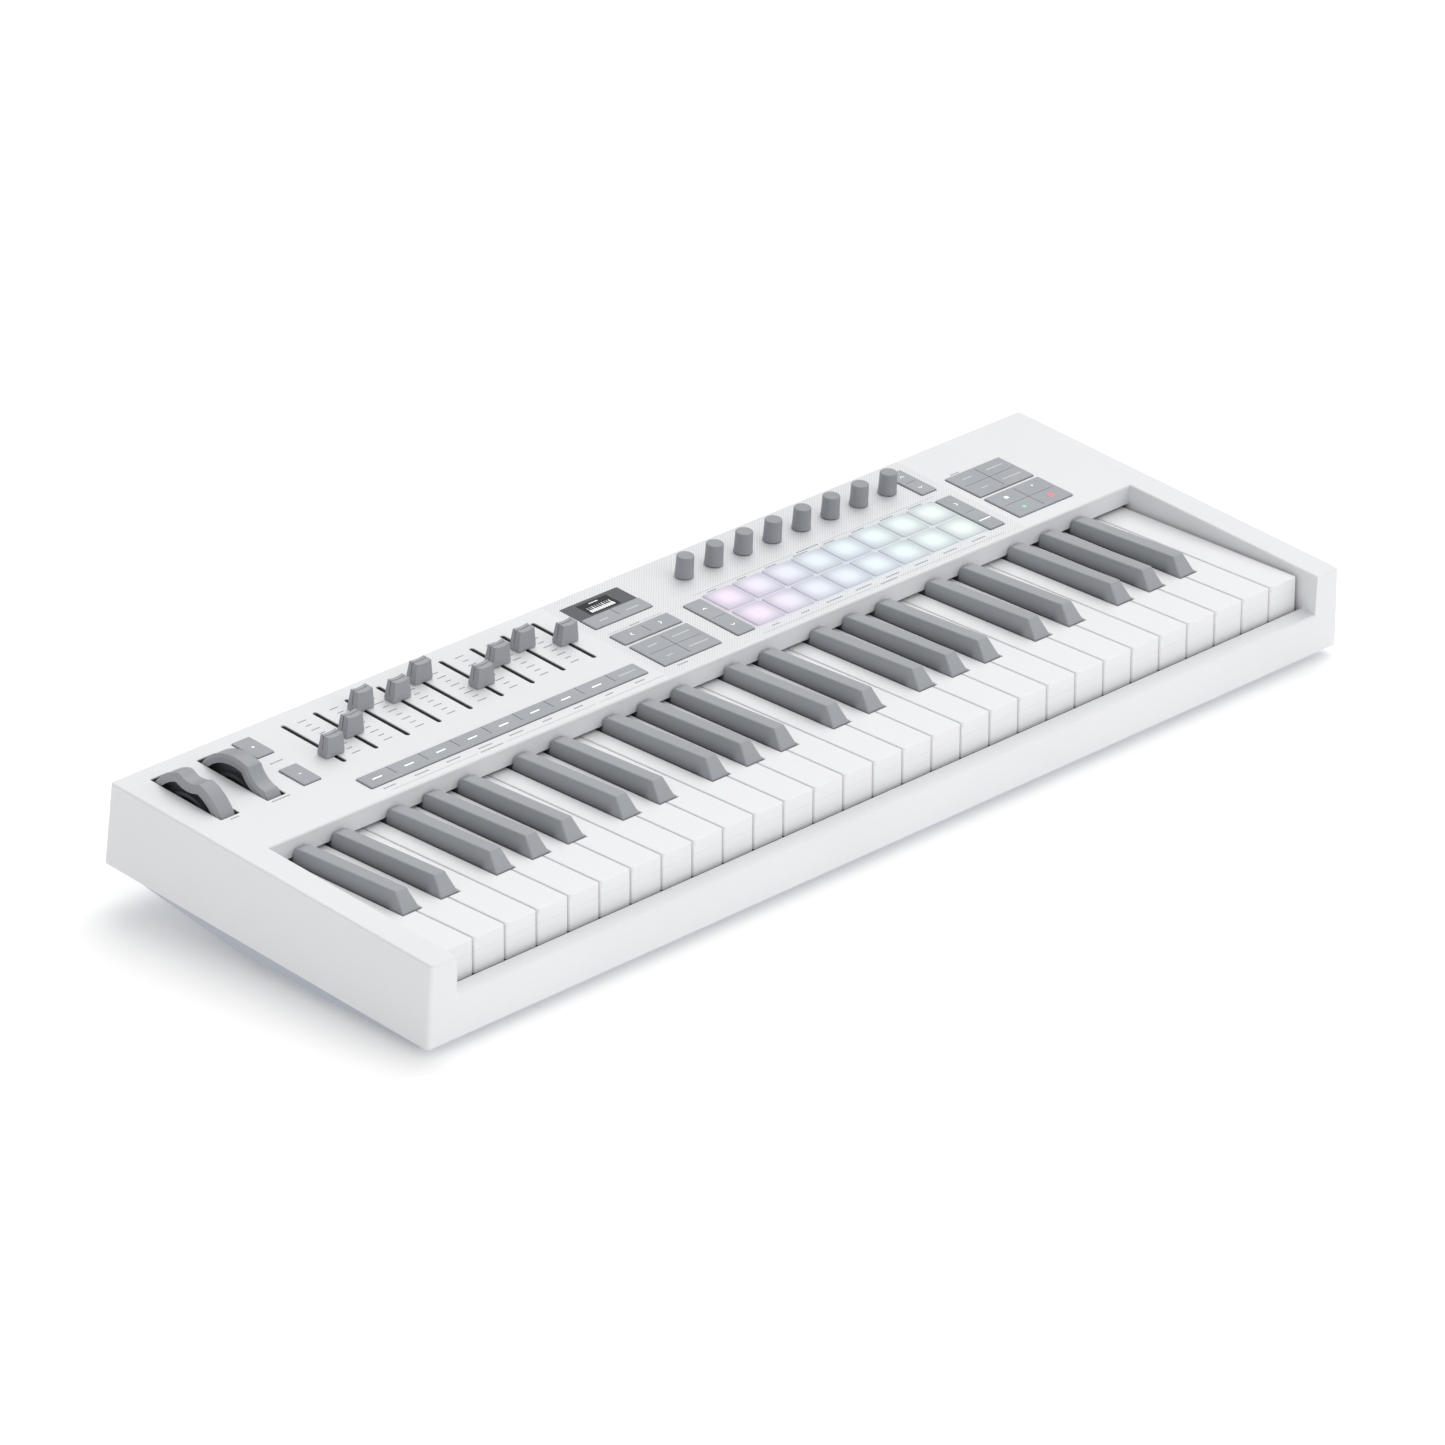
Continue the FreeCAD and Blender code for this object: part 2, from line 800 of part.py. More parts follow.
def wheel():
    half = wheel_width / 2.0
    disc = rod_across(-half, half, 0, 0, wheel_radius)
    notch_level = notch_depth_level + notch_radius
    disc = disc.cut(rod_across(-wheel_width, wheel_width, 0, notch_level, notch_radius))
    crests = [edge for edge in disc.Edges if edge.BoundBox.XLength > wheel_width / 2.0]
    crests = [edge for edge in crests if edge.BoundBox.ZMin > 0 and abs(edge.BoundBox.YMin) > 1.0]
    disc = disc.makeFillet(notch_edge_radius, crests)
    rims = [edge for edge in disc.Edges if edge.BoundBox.XLength < 1e-6]
    disc = disc.makeChamfer(wheel_edge, rims)
    hollow = rod_across(wheel_web / 2.0, half + overshoot, 0, 0, wheel_radius - wheel_rim)
    shoulder = rod_across(0, half + 2.0 * overshoot, 0, notch_level, notch_radius + wheel_rim)
    ring = rod_across(0, wheel_ring_width / 2.0, 0, 0, wheel_ring_outer)
    ring = ring.cut(rod_across(-overshoot, wheel_ring_width, 0, 0, wheel_ring_inner))
    hollow = hollow.cut(shoulder).cut(ring)
    other_side = hollow.mirror(Vector(0, 0, 0), Vector(1, 0, 0))
    disc = disc.cut([hollow, other_side])
    reach = 2.0 * wheel_radius
    slope = math.radians(wheel_sector)
    lower = [(reach * math.sin(slope), reach * math.cos(slope)), (reach, -reach), (-reach, -reach)]
    lower = [(0.0, 0.0)] + lower + [(-reach * math.sin(slope), reach * math.cos(slope))]
    disc = disc.cut(side_profile(lower, -wheel_width, wheel_width))
    hub = rod_across(-half + fit_gap, half - fit_gap, 0, 0, wheel_hub_radius)
    solid = join([disc, hub])
    return solid.cut(rod_across(-wheel_width, wheel_width, 0, 0, axle_radius + running_gap))


pitch_wheel = wheel()
pitch_wheel.translate(Vector(pitch_side, wheel_middle, wheel_axle_level))
save("pitch_wheel", [pitch_wheel])
mod_wheel = wheel()
mod_wheel.rotate(Vector(0, 0, 0), Vector(1, 0, 0), mod_rest_angle)
mod_wheel.translate(Vector(mod_side, wheel_middle, wheel_axle_level))
save("modulation_wheel", [mod_wheel])

plates = []
axles = []
for side in [pitch_side, mod_side]:
    half_slot = wheel_slot_width / 2.0
    openings.append(
        rounded_opening(
            side - half_slot,
            side + half_slot,
            wheel_slot_front,
            wheel_slot_rear,
            -deck_thickness - overshoot,
            overshoot,
            wheel_slot_corner,
        )
    )
    inner = wheel_width / 2.0 + bracket_side_gap
    outer = inner + bracket_plate
    for start, end in [(side - outer, side - inner), (side + inner, side + outer)]:
        plates.append(box(start, end, bracket_front, bracket_rear, bracket_bottom, -deck_thickness))
    axles.append(rod_across(side - outer, side + outer, wheel_middle, wheel_axle_level, axle_radius))
floor_left = pitch_side - wheel_width / 2.0 - bracket_side_gap - bracket_plate
floor_right = mod_side + wheel_width / 2.0 + bracket_side_gap + bracket_plate
floor_top = bracket_bottom + bracket_plate
plates.append(box(floor_left, floor_right, bracket_front, bracket_rear, bracket_bottom, floor_top))
save("wheel_bracket", [join(plates).cut(axles)])
save("wheel_axles", axles)

# ---------------------------------------------------------------- keys
black_sides = []
for octave in range(octaves):
    for boundary in sorted(black_offsets):
        nominal = -keys_half + white_pitch * (7 * octave + boundary + 1)
        black_sides.append(nominal + black_offsets[boundary])


def hinge_seat(left, right):
    bore = rod_across(left, right, hinge_reach, -hinge_drop, hinge_rod_radius + running_gap)
    half = snap_opening / 2.0
    mouth = box(left, right, hinge_reach - half, hinge_reach + half, -key_skirt, -hinge_drop)
    return bore.fuse(mouth)


def key_plan(edges, inset, low, high):
    left, right, body_left, body_right = edges
    head = box(left + inset, right - inset, inset, head_length - inset, low, high)
    body = box(body_left + inset, body_right - inset, inset, key_length - inset, low, high)
    return join([head, body])


def white_key(index):
    left = -keys_half + index * white_pitch + key_gap / 2.0
    right = left + white_pitch - key_gap
    reach = black_width / 2.0 + black_clearance
    body_left = left
    body_right = right
    for side in black_sides:
        if abs(side - left) < white_pitch / 2.0:
            body_left = side + reach
        if abs(side - right) < white_pitch / 2.0:
            body_right = side - reach
    edges = (left, right, body_left, body_right)
    key = key_plan(edges, 0.0, -key_skirt, 0.0)
    front_corners = [edge for edge in upright_edges(key, -key_skirt, 0.0) if edge.BoundBox.YMax < 1e-6]
    key = key.makeFillet(key_corner_radius, front_corners)
    key = key.makeFillet(key_edge_radius, level_edges(key, 0.0))
    cut_left = left - overshoot
    cut_right = right + overshoot
    cut_rear = key_length + overshoot
    cut_low = -key_skirt - overshoot
    under_lip = box(cut_left, cut_right, -overshoot, lip_overhang, cut_low, -lip_height)
    under_walls = box(cut_left, cut_right, key_skirt_depth, cut_rear, cut_low, -key_wall_height)
    tail_start = well_rear - key_front - hinge_block
    under_tail = box(cut_left, cut_right, tail_start, cut_rear, cut_low, -tail_height)
    key = key.cut([under_lip, under_walls, under_tail])
    cavity = key_plan(edges, key_wall, cut_low, -key_top_thickness)
    block = box(left, right, hinge_reach - hinge_block, cut_rear, cut_low, 0.0)
    pusher = box(left, right, pusher_reach, pusher_reach + pusher_thickness, cut_low, 0.0)
    key = key.cut(cavity.cut([block, pusher]))
    key = key.cut(hinge_seat(left - overshoot, right + overshoot))
    key.Placement = key_frame.multiply(key.Placement)
    return key


def black_key(side):
    half = black_width / 2.0
    top_half = black_top_width / 2.0
    lower = [(-half, black_front), (half, black_front), (half, black_rear), (-half, black_rear)]
    upper_front = black_front + black_front_slope
    upper = [(-top_half, upper_front), (top_half, upper_front)]
    upper = upper + [(top_half, black_rear), (-top_half, black_rear)]
    lower_loop = Part.makePolygon([Vector(x, y, 0) for x, y in lower + lower[:1]])
    upper_loop = Part.makePolygon([Vector(x, y, black_rise) for x, y in upper + upper[:1]])
    crown = Part.makeLoft([lower_loop, upper_loop], True, True)
    trim = [
        (upper_front, black_rise),
        (black_rear - black_rear_bevel, black_rear_rise),
        (black_rear, black_rear_rise - black_rear_bevel),
        (black_rear + overshoot, black_rise + overshoot),
        (upper_front, black_rise + overshoot),
    ]
    crown = crown.cut(side_profile(trim, -black_width, black_width))
    ridges = []
    for edge in crown.Edges:
        limits = edge.BoundBox
        if limits.ZMin > black_rear_rise - 2.0 * black_rear_bevel and limits.YMax < black_rear - overshoot:
            ridges.append(edge)
    slopes = []
    for edge in crown.Edges:
        limits = edge.BoundBox
        if limits.YMax < upper_front + 0.1 and limits.ZLength > black_rise / 2.0:
            slopes.append(edge)
    crown = crown.makeFillet(black_edge_radius, ridges + slopes)
    body = box(-half, half, black_front, black_rear - overshoot, -key_wall_height, 0.0)
    tail_half = black_tail_width / 2.0
    tail = box(-tail_half, tail_half, black_rear - 2.0 * overshoot, key_length, -tail_height, black_tail_rise)
    key = join([crown, body, tail])
    cavity_half = black_cavity_width / 2.0
    cavity_front = black_front + 2.0 * key_wall
    cavity_rear = hinge_reach - hinge_block
    cavity = box(-cavity_half, cavity_half, cavity_front, cavity_rear, -key_skirt, -key_top_thickness)
    pusher = box(-half, half, pusher_reach, pusher_reach + pusher_thickness, -key_skirt, 0.0)
    key = key.cut(cavity.cut(pusher))
    key = key.cut(hinge_seat(-half - overshoot, half + overshoot))
    key.translate(Vector(side, 0, 0))
    key.Placement = key_frame.multiply(key.Placement)
    return key


for octave in range(octaves):
    first = 7 * octave
    last = first + 7 if octave < octaves - 1 else white_count
    save("white_keys_octave_" + str(octave + 1), [white_key(index) for index in range(first, last)])
    sides = black_sides[5 * octave : 5 * octave + 5]
    save("black_keys_octave_" + str(octave + 1), [black_key(side) for side in sides])

# ---------------------------------------------------------------- keybed
frame_half = well_half - frame_side_gap
frame_bottom = frame_top - frame_thickness
hinge_rod = rod_across(-frame_half, frame_half, hinge_spot.y, hinge_spot.z, hinge_rod_radius)
save("key_hinge_rod", [hinge_rod])
frame_parts = [box(-frame_half, frame_half, frame_front, frame_rear, frame_bottom, frame_top)]
felts = []
for start, level in [(front_felt_start, front_felt_top), (middle_felt_start, middle_felt_top)]:
    felt_bottom = level - felt_thickness
    frame_parts.append(box(-frame_half, frame_half, start, start + felt_width, frame_top, felt_bottom))
    felts.append(box(-frame_half, frame_half, start, start + felt_width, felt_bottom, level))
for start in [contact_front, contact_rear - contact_rib]:
    end = start + contact_rib
    frame_parts.append(box(-frame_half, frame_half, start, end, frame_top, contact_board_bottom))
web_front = hinge_spot.y - hinge_web / 2.0
frame_parts.append(box(-frame_half, frame_half, web_front, web_front + hinge_web, frame_top, hinge_spot.z))
frame = join(frame_parts).cut(hinge_rod)
contact_top = contact_board_bottom + board_thickness
contact_board = box(-frame_half, frame_half, contact_front, contact_rear, contact_board_bottom, contact_top)
save("key_contact_board", [contact_board])
save("key_stop_felts", felts)

dome_sides = []
for index in range(white_count):
    left = -keys_half + index * white_pitch
    right = left + white_pitch
    for side in black_sides:
        if abs(side - left) < white_pitch / 4.0:
            left = side + black_width / 2.0
        if abs(side - right) < white_pitch / 4.0:
            right = side - black_width / 2.0
    dome_sides.append((left + right) / 2.0)
sheet_top = contact_top + dome_sheet_thickness
domes = [box(-frame_half, frame_half, dome_sheet_front, dome_sheet_rear, contact_top, sheet_top)]
for side in dome_sides + black_sides:
    base = Vector(side, dome_line, sheet_top - fit_gap)
    domes.append(Part.makeCone(dome_radius, dome_top_radius, dome_height + fit_gap, base, Vector(0, 0, 1)))
save("key_dome_strip", [join(domes)])

# ---------------------------------------------------------------- tray
tray_line = [
    (tray_front, tray_lip_top),
    (tray_front, tray_edge_bottom),
    (tray_front_depth, tray_front_bottom),
    (tray_crest, tray_crest_bottom),
    (tray_rear, tray_rear_bottom),
    (tray_rear, tray_lip_top),
]
hollow_line = [
    (tray_front + wall, tray_lip_top + overshoot),
    (tray_front + wall, tray_floor(tray_front + wall) + wall),
    (tray_front_depth, tray_front_bottom + wall),
    (tray_crest, tray_crest_bottom + wall),
    (tray_rear - wall, tray_floor(tray_rear - wall) + wall),
    (tray_rear - wall, tray_lip_top + overshoot),
]
tray_block = side_profile(tray_line, -tray_half, tray_half)
keel_edges = []
for edge in tray_block.Edges:
    limits = edge.BoundBox
    if limits.XLength < 1e-6 and limits.YLength > wall and limits.ZMax < tray_lip_top - overshoot:
        keel_edges.append(edge)
tray_block = tray_block.makeFillet(tray_edge_radius, keel_edges)
hollow = side_profile(hollow_line, -tray_half + wall, tray_half - wall)
tray = tray_block.cut(hollow)

screws = []
case_posts = []
tray_bosses = []
tray_cuts = []
post_cuts = []
post_spots = [(sign * cheek_post_side, line) for sign in (-1, 1) for line in cheek_post_lines]
post_spots = post_spots + [(side, rear_post_line) for side in rear_post_sides]
for x, y in post_spots:
    floor = tray_floor(y)
    boss_top = floor + boss_height
    boss = peg(x, y, floor - boss_height, boss_top, boss_radius).common(tray_block)
    tray_bosses.append(boss)
    tray_cuts.append(peg(x, y, floor - boss_height, floor + screw_recess, screw_recess_radius))
    tray_cuts.append(peg(x, y, floor, boss_top + overshoot, screw_clear))
    case_posts.append(peg(x, y, boss_top, -deck_thickness + fit_gap, post_radius))
    seat = floor + screw_recess
    screw_top = seat + screw_length
    post_cuts.append(peg(x, y, boss_top - overshoot, screw_top + overshoot, screw_pilot))
    head = peg(x, y, seat - screw_head_height, seat, screw_head)
    screws.append(join([head, peg(x, y, seat - fit_gap, screw_top, screw_shank)]))

frame_cuts = []
for x in frame_post_sides:
    for y in frame_post_lines:
        floor = tray_floor(y) + wall / 2.0
        tray_bosses.append(peg(x, y, floor, frame_bottom, boss_radius))
        pilot_bottom = frame_top - frame_screw_length - overshoot
        tray_cuts.append(peg(x, y, pilot_bottom, frame_bottom + overshoot, screw_pilot))
        frame_cuts.append(peg(x, y, frame_bottom - overshoot, frame_top + overshoot, screw_clear))
        head = peg(x, y, frame_top, frame_top + screw_head_height, screw_head)
        shank = peg(x, y, frame_top - frame_screw_length, frame_top + fit_gap, screw_shank)
        screws.append(join([head, shank]))
save("case_screws", screws)
save("keybed_frame", [frame.cut(frame_cuts)])

for x in io_post_sides:
    for inset in io_post_insets:
        y = deck_depth - inset
        tray_bosses.append(peg(x, y, tray_floor(y) + wall / 2.0, io_board_top - board_thickness, post_radius))
tray = join([tray] + tray_bosses).cut(tray_cuts)
save("bottom_case", [tray])

feet = []
tray_on_table = tray_block.copy()
tray_on_table.Placement = table_frame.multiply(tray_on_table.Placement)
back_to_deck = table_frame.inverse()
for x in [-foot_side, foot_side]:
    for y in [foot_front, foot_rear]:
        middle = table_frame.multVec(Vector(x, y, tray_floor(y)))
        foot = Part.makeCylinder(foot_radius, foot_tall, Vector(middle.x, middle.y, 0), Vector(0, 0, 1))
        foot = foot.makeChamfer(foot_edge, level_edges(foot, 0.0))
        foot = foot.cut(tray_on_table)
        foot = sorted(foot.Solids, key=lambda piece: piece.BoundBox.ZMin)[0]
        foot.Placement = back_to_deck.multiply(foot.Placement)
        feet.append(foot)
save("rubber_feet", feet)

# ---------------------------------------------------------------- control board
control_board = box(board_left, board_right, board_front, board_rear, board_top - board_thickness, board_top)
notches = []
board_notch_radius = post_radius + board_notch_gap
for x, y in post_spots:
    notches.append(peg(x, y, board_top - 2.0 * board_thickness, board_top + overshoot, board_notch_radius))
save("control_board", [control_board.cut(notches)])

# ---------------------------------------------------------------- rear sockets
rear_wall_outer = deck_depth - rear_flare * socket_level / panel_height
rear_wall_inner = rear_wall_outer - wall
socket_rear = rear_wall_inner - nose_gap

nose_front = socket_rear - fit_gap
nose_rear = rear_wall_outer - nose_gap

half = midi_body / 2.0
midi_top = socket_level + half
midi_front = rear_wall_inner - midi_body_depth
midi_shell = box(midi_side - half, midi_side + half, midi_front, socket_rear, io_board_top, midi_top)
midi_nose_rod = rod_back(midi_side, nose_front, nose_rear, socket_level, midi_nose)
midi_face = rear_wall_outer
groove = rod_back(midi_side, midi_face - midi_depth, midi_face + overshoot, socket_level, midi_groove_outer)
groove_core = rod_back(
    midi_side, midi_face - 2.0 * midi_depth, midi_face + 2.0 * overshoot, socket_level, midi_groove_inner
)
pin_holes = [groove.cut(groove_core)]
for step in range(midi_pins):
    angle = math.radians(midi_pin_angle * (step - (midi_pins - 1) / 2.0))
    pin_x = midi_side + midi_pin_circle * math.sin(angle)
    pin_z = socket_level + midi_pin_circle * math.cos(angle)
    pin_holes.append(rod_back(pin_x, midi_face - midi_depth, midi_face + overshoot, pin_z, midi_pin_radius))
save("midi_socket", [join([midi_shell, midi_nose_rod]).cut(pin_holes)])

half = pedal_body / 2.0
pedal_top = socket_level + half
pedal_front = rear_wall_inner - pedal_body_depth
pedal_shell = box(pedal_side - half, pedal_side + half, pedal_front, socket_rear, io_board_top, pedal_top)
pedal_nose_rod = rod_back(pedal_side, nose_front, nose_rear, socket_level, pedal_nose)
pedal_hole = rod_back(pedal_side, pedal_front + wall, rear_wall_outer + overshoot, socket_level, pedal_bore)
save("pedal_socket", [join([pedal_shell, pedal_nose_rod]).cut(pedal_hole)])


def usb_slab(width, height, front, rear, level):
    reach = (width - height) / 2.0
    radius = height / 2.0
    middle = box(usb_side - reach, usb_side + reach, front, rear, level - radius, level + radius)
    ends = [rod_back(usb_side + sign * reach, front, rear, level, radius) for sign in (-1, 1)]
    return join([middle] + ends)


usb_level = io_board_top + usb_height / 2.0
usb_rear = nose_rear
usb_front = usb_rear - usb_depth
usb_shell_block = usb_slab(usb_width, usb_height, usb_front, usb_rear, usb_level)
usb_well_width = usb_width - 2.0 * usb_shell
usb_well_height = usb_height - 2.0 * usb_shell
usb_well = usb_slab(usb_well_width, usb_well_height, usb_front + wall, usb_rear + overshoot, usb_level)
usb_tongue = box(
    usb_side - usb_tongue_width / 2.0,
    usb_side + usb_tongue_width / 2.0,
    usb_front + overshoot,
    usb_rear - overshoot,
    usb_level - usb_tongue_height / 2.0,
    usb_level + usb_tongue_height / 2.0,
)
save("usb_socket", [usb_shell_block.cut(usb_well.cut(usb_tongue))])
io_board_bottom = io_board_top - board_thickness
io_board = box(io_board_left, io_board_right, io_board_front, io_board_rear, io_board_bottom, io_board_top)
save("connector_board", [io_board])

wall_front = rear_wall_inner - overshoot
wall_rear = rear_wall_outer + 2.0 * overshoot
openings.append(rod_back(midi_side, wall_front, wall_rear, socket_level, midi_nose + nose_gap))
openings.append(rod_back(pedal_side, wall_front, wall_rear, socket_level, pedal_nose + nose_gap))
usb_hole_width = usb_width + 2.0 * nose_gap
usb_hole_height = usb_height + 2.0 * nose_gap
openings.append(usb_slab(usb_hole_width, usb_hole_height, wall_front, wall_rear, usb_level))
openings.append(
    box(
        lock_side - lock_width / 2.0,
        lock_side + lock_width / 2.0,
        wall_front,
        wall_rear,
        socket_level - lock_height / 2.0,
        socket_level + lock_height / 2.0,
    )
)



# ---------------------------------------------------------------- upper case
def rail_bevel():
    """Breaks the rail's outer top edge."""
    low = -rail_drop - rail_edge - overshoot
    high = -rail_drop + overshoot
    face = rail_front - overshoot
    inside = rail_front + rail_edge + overshoot
    return side_profile([(face, low), (inside, high), (face, high)], -well_half, well_half)


def well_bevel(side):
    """Breaks the top inner edge of one cheek."""
    outside = side * (well_half + well_edge + overshoot)
    inside = side * (well_half - overshoot)
    points = [
        Vector(inside, 0, -well_edge - overshoot),
        Vector(outside, 0, overshoot),
        Vector(inside, 0, overshoot),
    ]
    face = Part.Face(Part.makePolygon(points + points[:1]))
    face.translate(Vector(0, well_front, 0))
    return face.extrude(Vector(0, well_rear - well_front, 0))


def fallboard_bevel():
    """Breaks the top edge of the fallboard."""
    low = -well_edge - overshoot
    near = well_rear - overshoot
    far = well_rear + well_edge + overshoot
    return side_profile([(near, low), (far, overshoot), (near, overshoot)], -well_half, well_half)


outer = case_block(0.0, -panel_height, 0.0)
outer = outer.makeFillet(top_edge_radius, level_edges(outer, 0.0))
inner = case_block(-deck_thickness, -panel_height, wall)
shell = outer.cut(inner)
walls = []
for sign in (-1, 1):
    sides = sorted([sign * well_half, sign * (well_half + wall)])
    walls.append(box(sides[0], sides[1], overshoot, well_rear + wall, cheek_wall_bottom, -overshoot))
span = well_half + wall
walls.append(box(-span, span, well_rear, well_rear + wall, -fallboard_drop, -overshoot))
walls.append(box(-span, span, overshoot, rail_depth, -rail_drop - wall, -rail_drop))
walls.append(box(-span, span, rail_depth - wall, rail_depth, rail_wall_bottom, -rail_drop - fit_gap))
shell = join([shell] + walls)
well_front = -front_flare - overshoot
well = box(-well_half, well_half, well_front, well_rear, -rail_drop, overshoot)
key_pit = box(-well_half, well_half, rail_depth, well_rear, -panel_height, overshoot)
shell = shell.cut([well, key_pit])
rail_front = -front_flare * rail_drop / panel_height
shell = shell.cut([rail_bevel(), well_bevel(-1), well_bevel(1), fallboard_bevel()])
pillars = [peg(x, y, board_top, -deck_thickness + fit_gap, pillar_radius) for x, y in pillar_spots]
shell = join([shell] + case_posts + pillars)
shell = shell.cut(post_cuts)
shell = shell.cut(openings)
save("top_case", [shell])
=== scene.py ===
import json
import math

import bmesh
import bpy
from mathutils import Matrix, Vector


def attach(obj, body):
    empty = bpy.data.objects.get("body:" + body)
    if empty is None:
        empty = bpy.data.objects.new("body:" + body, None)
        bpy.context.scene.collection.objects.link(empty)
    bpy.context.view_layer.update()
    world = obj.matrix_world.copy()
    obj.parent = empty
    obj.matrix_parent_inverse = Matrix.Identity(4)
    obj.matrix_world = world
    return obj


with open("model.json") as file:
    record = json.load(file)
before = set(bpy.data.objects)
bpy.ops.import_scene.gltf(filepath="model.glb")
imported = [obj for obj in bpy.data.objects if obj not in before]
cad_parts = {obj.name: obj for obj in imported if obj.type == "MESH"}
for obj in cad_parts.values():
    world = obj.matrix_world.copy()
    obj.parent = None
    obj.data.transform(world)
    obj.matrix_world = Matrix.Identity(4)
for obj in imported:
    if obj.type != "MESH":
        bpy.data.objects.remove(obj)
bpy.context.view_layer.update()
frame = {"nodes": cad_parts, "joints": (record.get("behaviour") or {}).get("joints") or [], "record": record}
nodes = frame["nodes"]
MM = 0.001
UP = Vector((0.0, 0.0, 1.0))
DARK_SHIELD_AND_SHADE = (0.10, 0.105, 0.115)  # shielding paint, and painted shade down in a gap
DOT_PITCH = 2.0 * MM
WHEEL_RIM = 27.4 * MM  # radius under the tread
PAD_GAP = 1.5 * MM
PAD_ROW_INSET = 0.8 * MM  # from the end of a row to its first pad
PAD_LAMPS = [  # lamp colours along a row, each with its share of the length
    (0.03, (0.97, 0.83, 1.0)),
    (0.17, (0.92, 0.84, 1.0)),
    (0.32, (0.85, 0.90, 1.0)),
    (0.55, (0.84, 0.95, 1.0)),
    (0.80, (0.88, 1.0, 0.98)),
    (0.97, (0.89, 1.0, 0.95)),
]

# ---------------------------------------------------------------- the deck's own directions
joint_axes = {joint["child"]: joint["axis"] for joint in frame["joints"]}
deck_normal = Vector(joint_axes["transport_buttons"]).normalized()
across = Vector((1.0, 0.0, 0.0))
back = deck_normal.cross(across)
deck_level = max(deck_normal.dot(vertex.co) for vertex in nodes["top_case"].data.vertices)
deck = Matrix((across, back, deck_normal)).transposed().to_4x4()
deck.translation = deck_normal * deck_level


def deck_box(node):
    """Lowest and highest corner of a CAD node along the deck: across, back and up from the deck."""
    spots = [deck_spot(vertex.co) for vertex in nodes[node].data.vertices]
    low = Vector((min(s.x for s in spots), min(s.y for s in spots), min(s.z for s in spots)))
    high = Vector((max(s.x for s in spots), max(s.y for s in spots), max(s.z for s in spots)))
    return low, high


def deck_spot(point):
    return Vector((point.x, back.dot(point), deck_normal.dot(point) - deck_level))


def middle(node):
    """The middle of a CAD node along the deck: across and back."""
    low, high = deck_box(node)
    return (low.x + high.x) / 2.0, (low.y + high.y) / 2.0


def world_top(node):
    """The highest level that a CAD node reaches above the floor."""
    return max(vertex.co.z for vertex in nodes[node].data.vertices)


# ---------------------------------------------------------------- shader tools
class Value:
    """A number that changes over a surface. Arithmetic on it adds Math nodes."""

    def __init__(self, finish, socket):
        self.finish = finish
        self.socket = socket

    def maths(self, operation, *others):
        values = dict(enumerate((self,) + others))
        made = self.finish.node("ShaderNodeMath", {"operation": operation}, values)
        return Value(self.finish, made.outputs[0])

    def __add__(self, other):
        return self.maths("ADD", other)

    __radd__ = __add__

    def __sub__(self, other):
        return self.maths("SUBTRACT", other)

    def __rsub__(self, other):
        return (self * -1.0).maths("ADD", other)

    def __mul__(self, other):
        return self.maths("MULTIPLY", other)

    __rmul__ = __mul__

    def __truediv__(self, other):
        return self.maths("DIVIDE", other)

    def __pow__(self, other):
        return self.maths("POWER", other)

    def __abs__(self):
        return self.maths("ABSOLUTE")

    def fraction(self):
        return self.maths("FRACT")

    def above(self, limit):
        return self.maths("GREATER_THAN", limit)

    def below(self, limit):
        return self.maths("LESS_THAN", limit)

    def between(self, low, high):
        return self.above(low) * self.below(high)

    def root(self):
        return self.maths("SQRT")

    def ease(self, low, high):
        """0 below low, 1 above high, smooth between them."""
        settings = {"interpolation_type": "SMOOTHSTEP"}
        made = self.finish.node("ShaderNodeMapRange", settings, {0: self, 1: low, 2: high})
        return Value(self.finish, made.outputs[0])


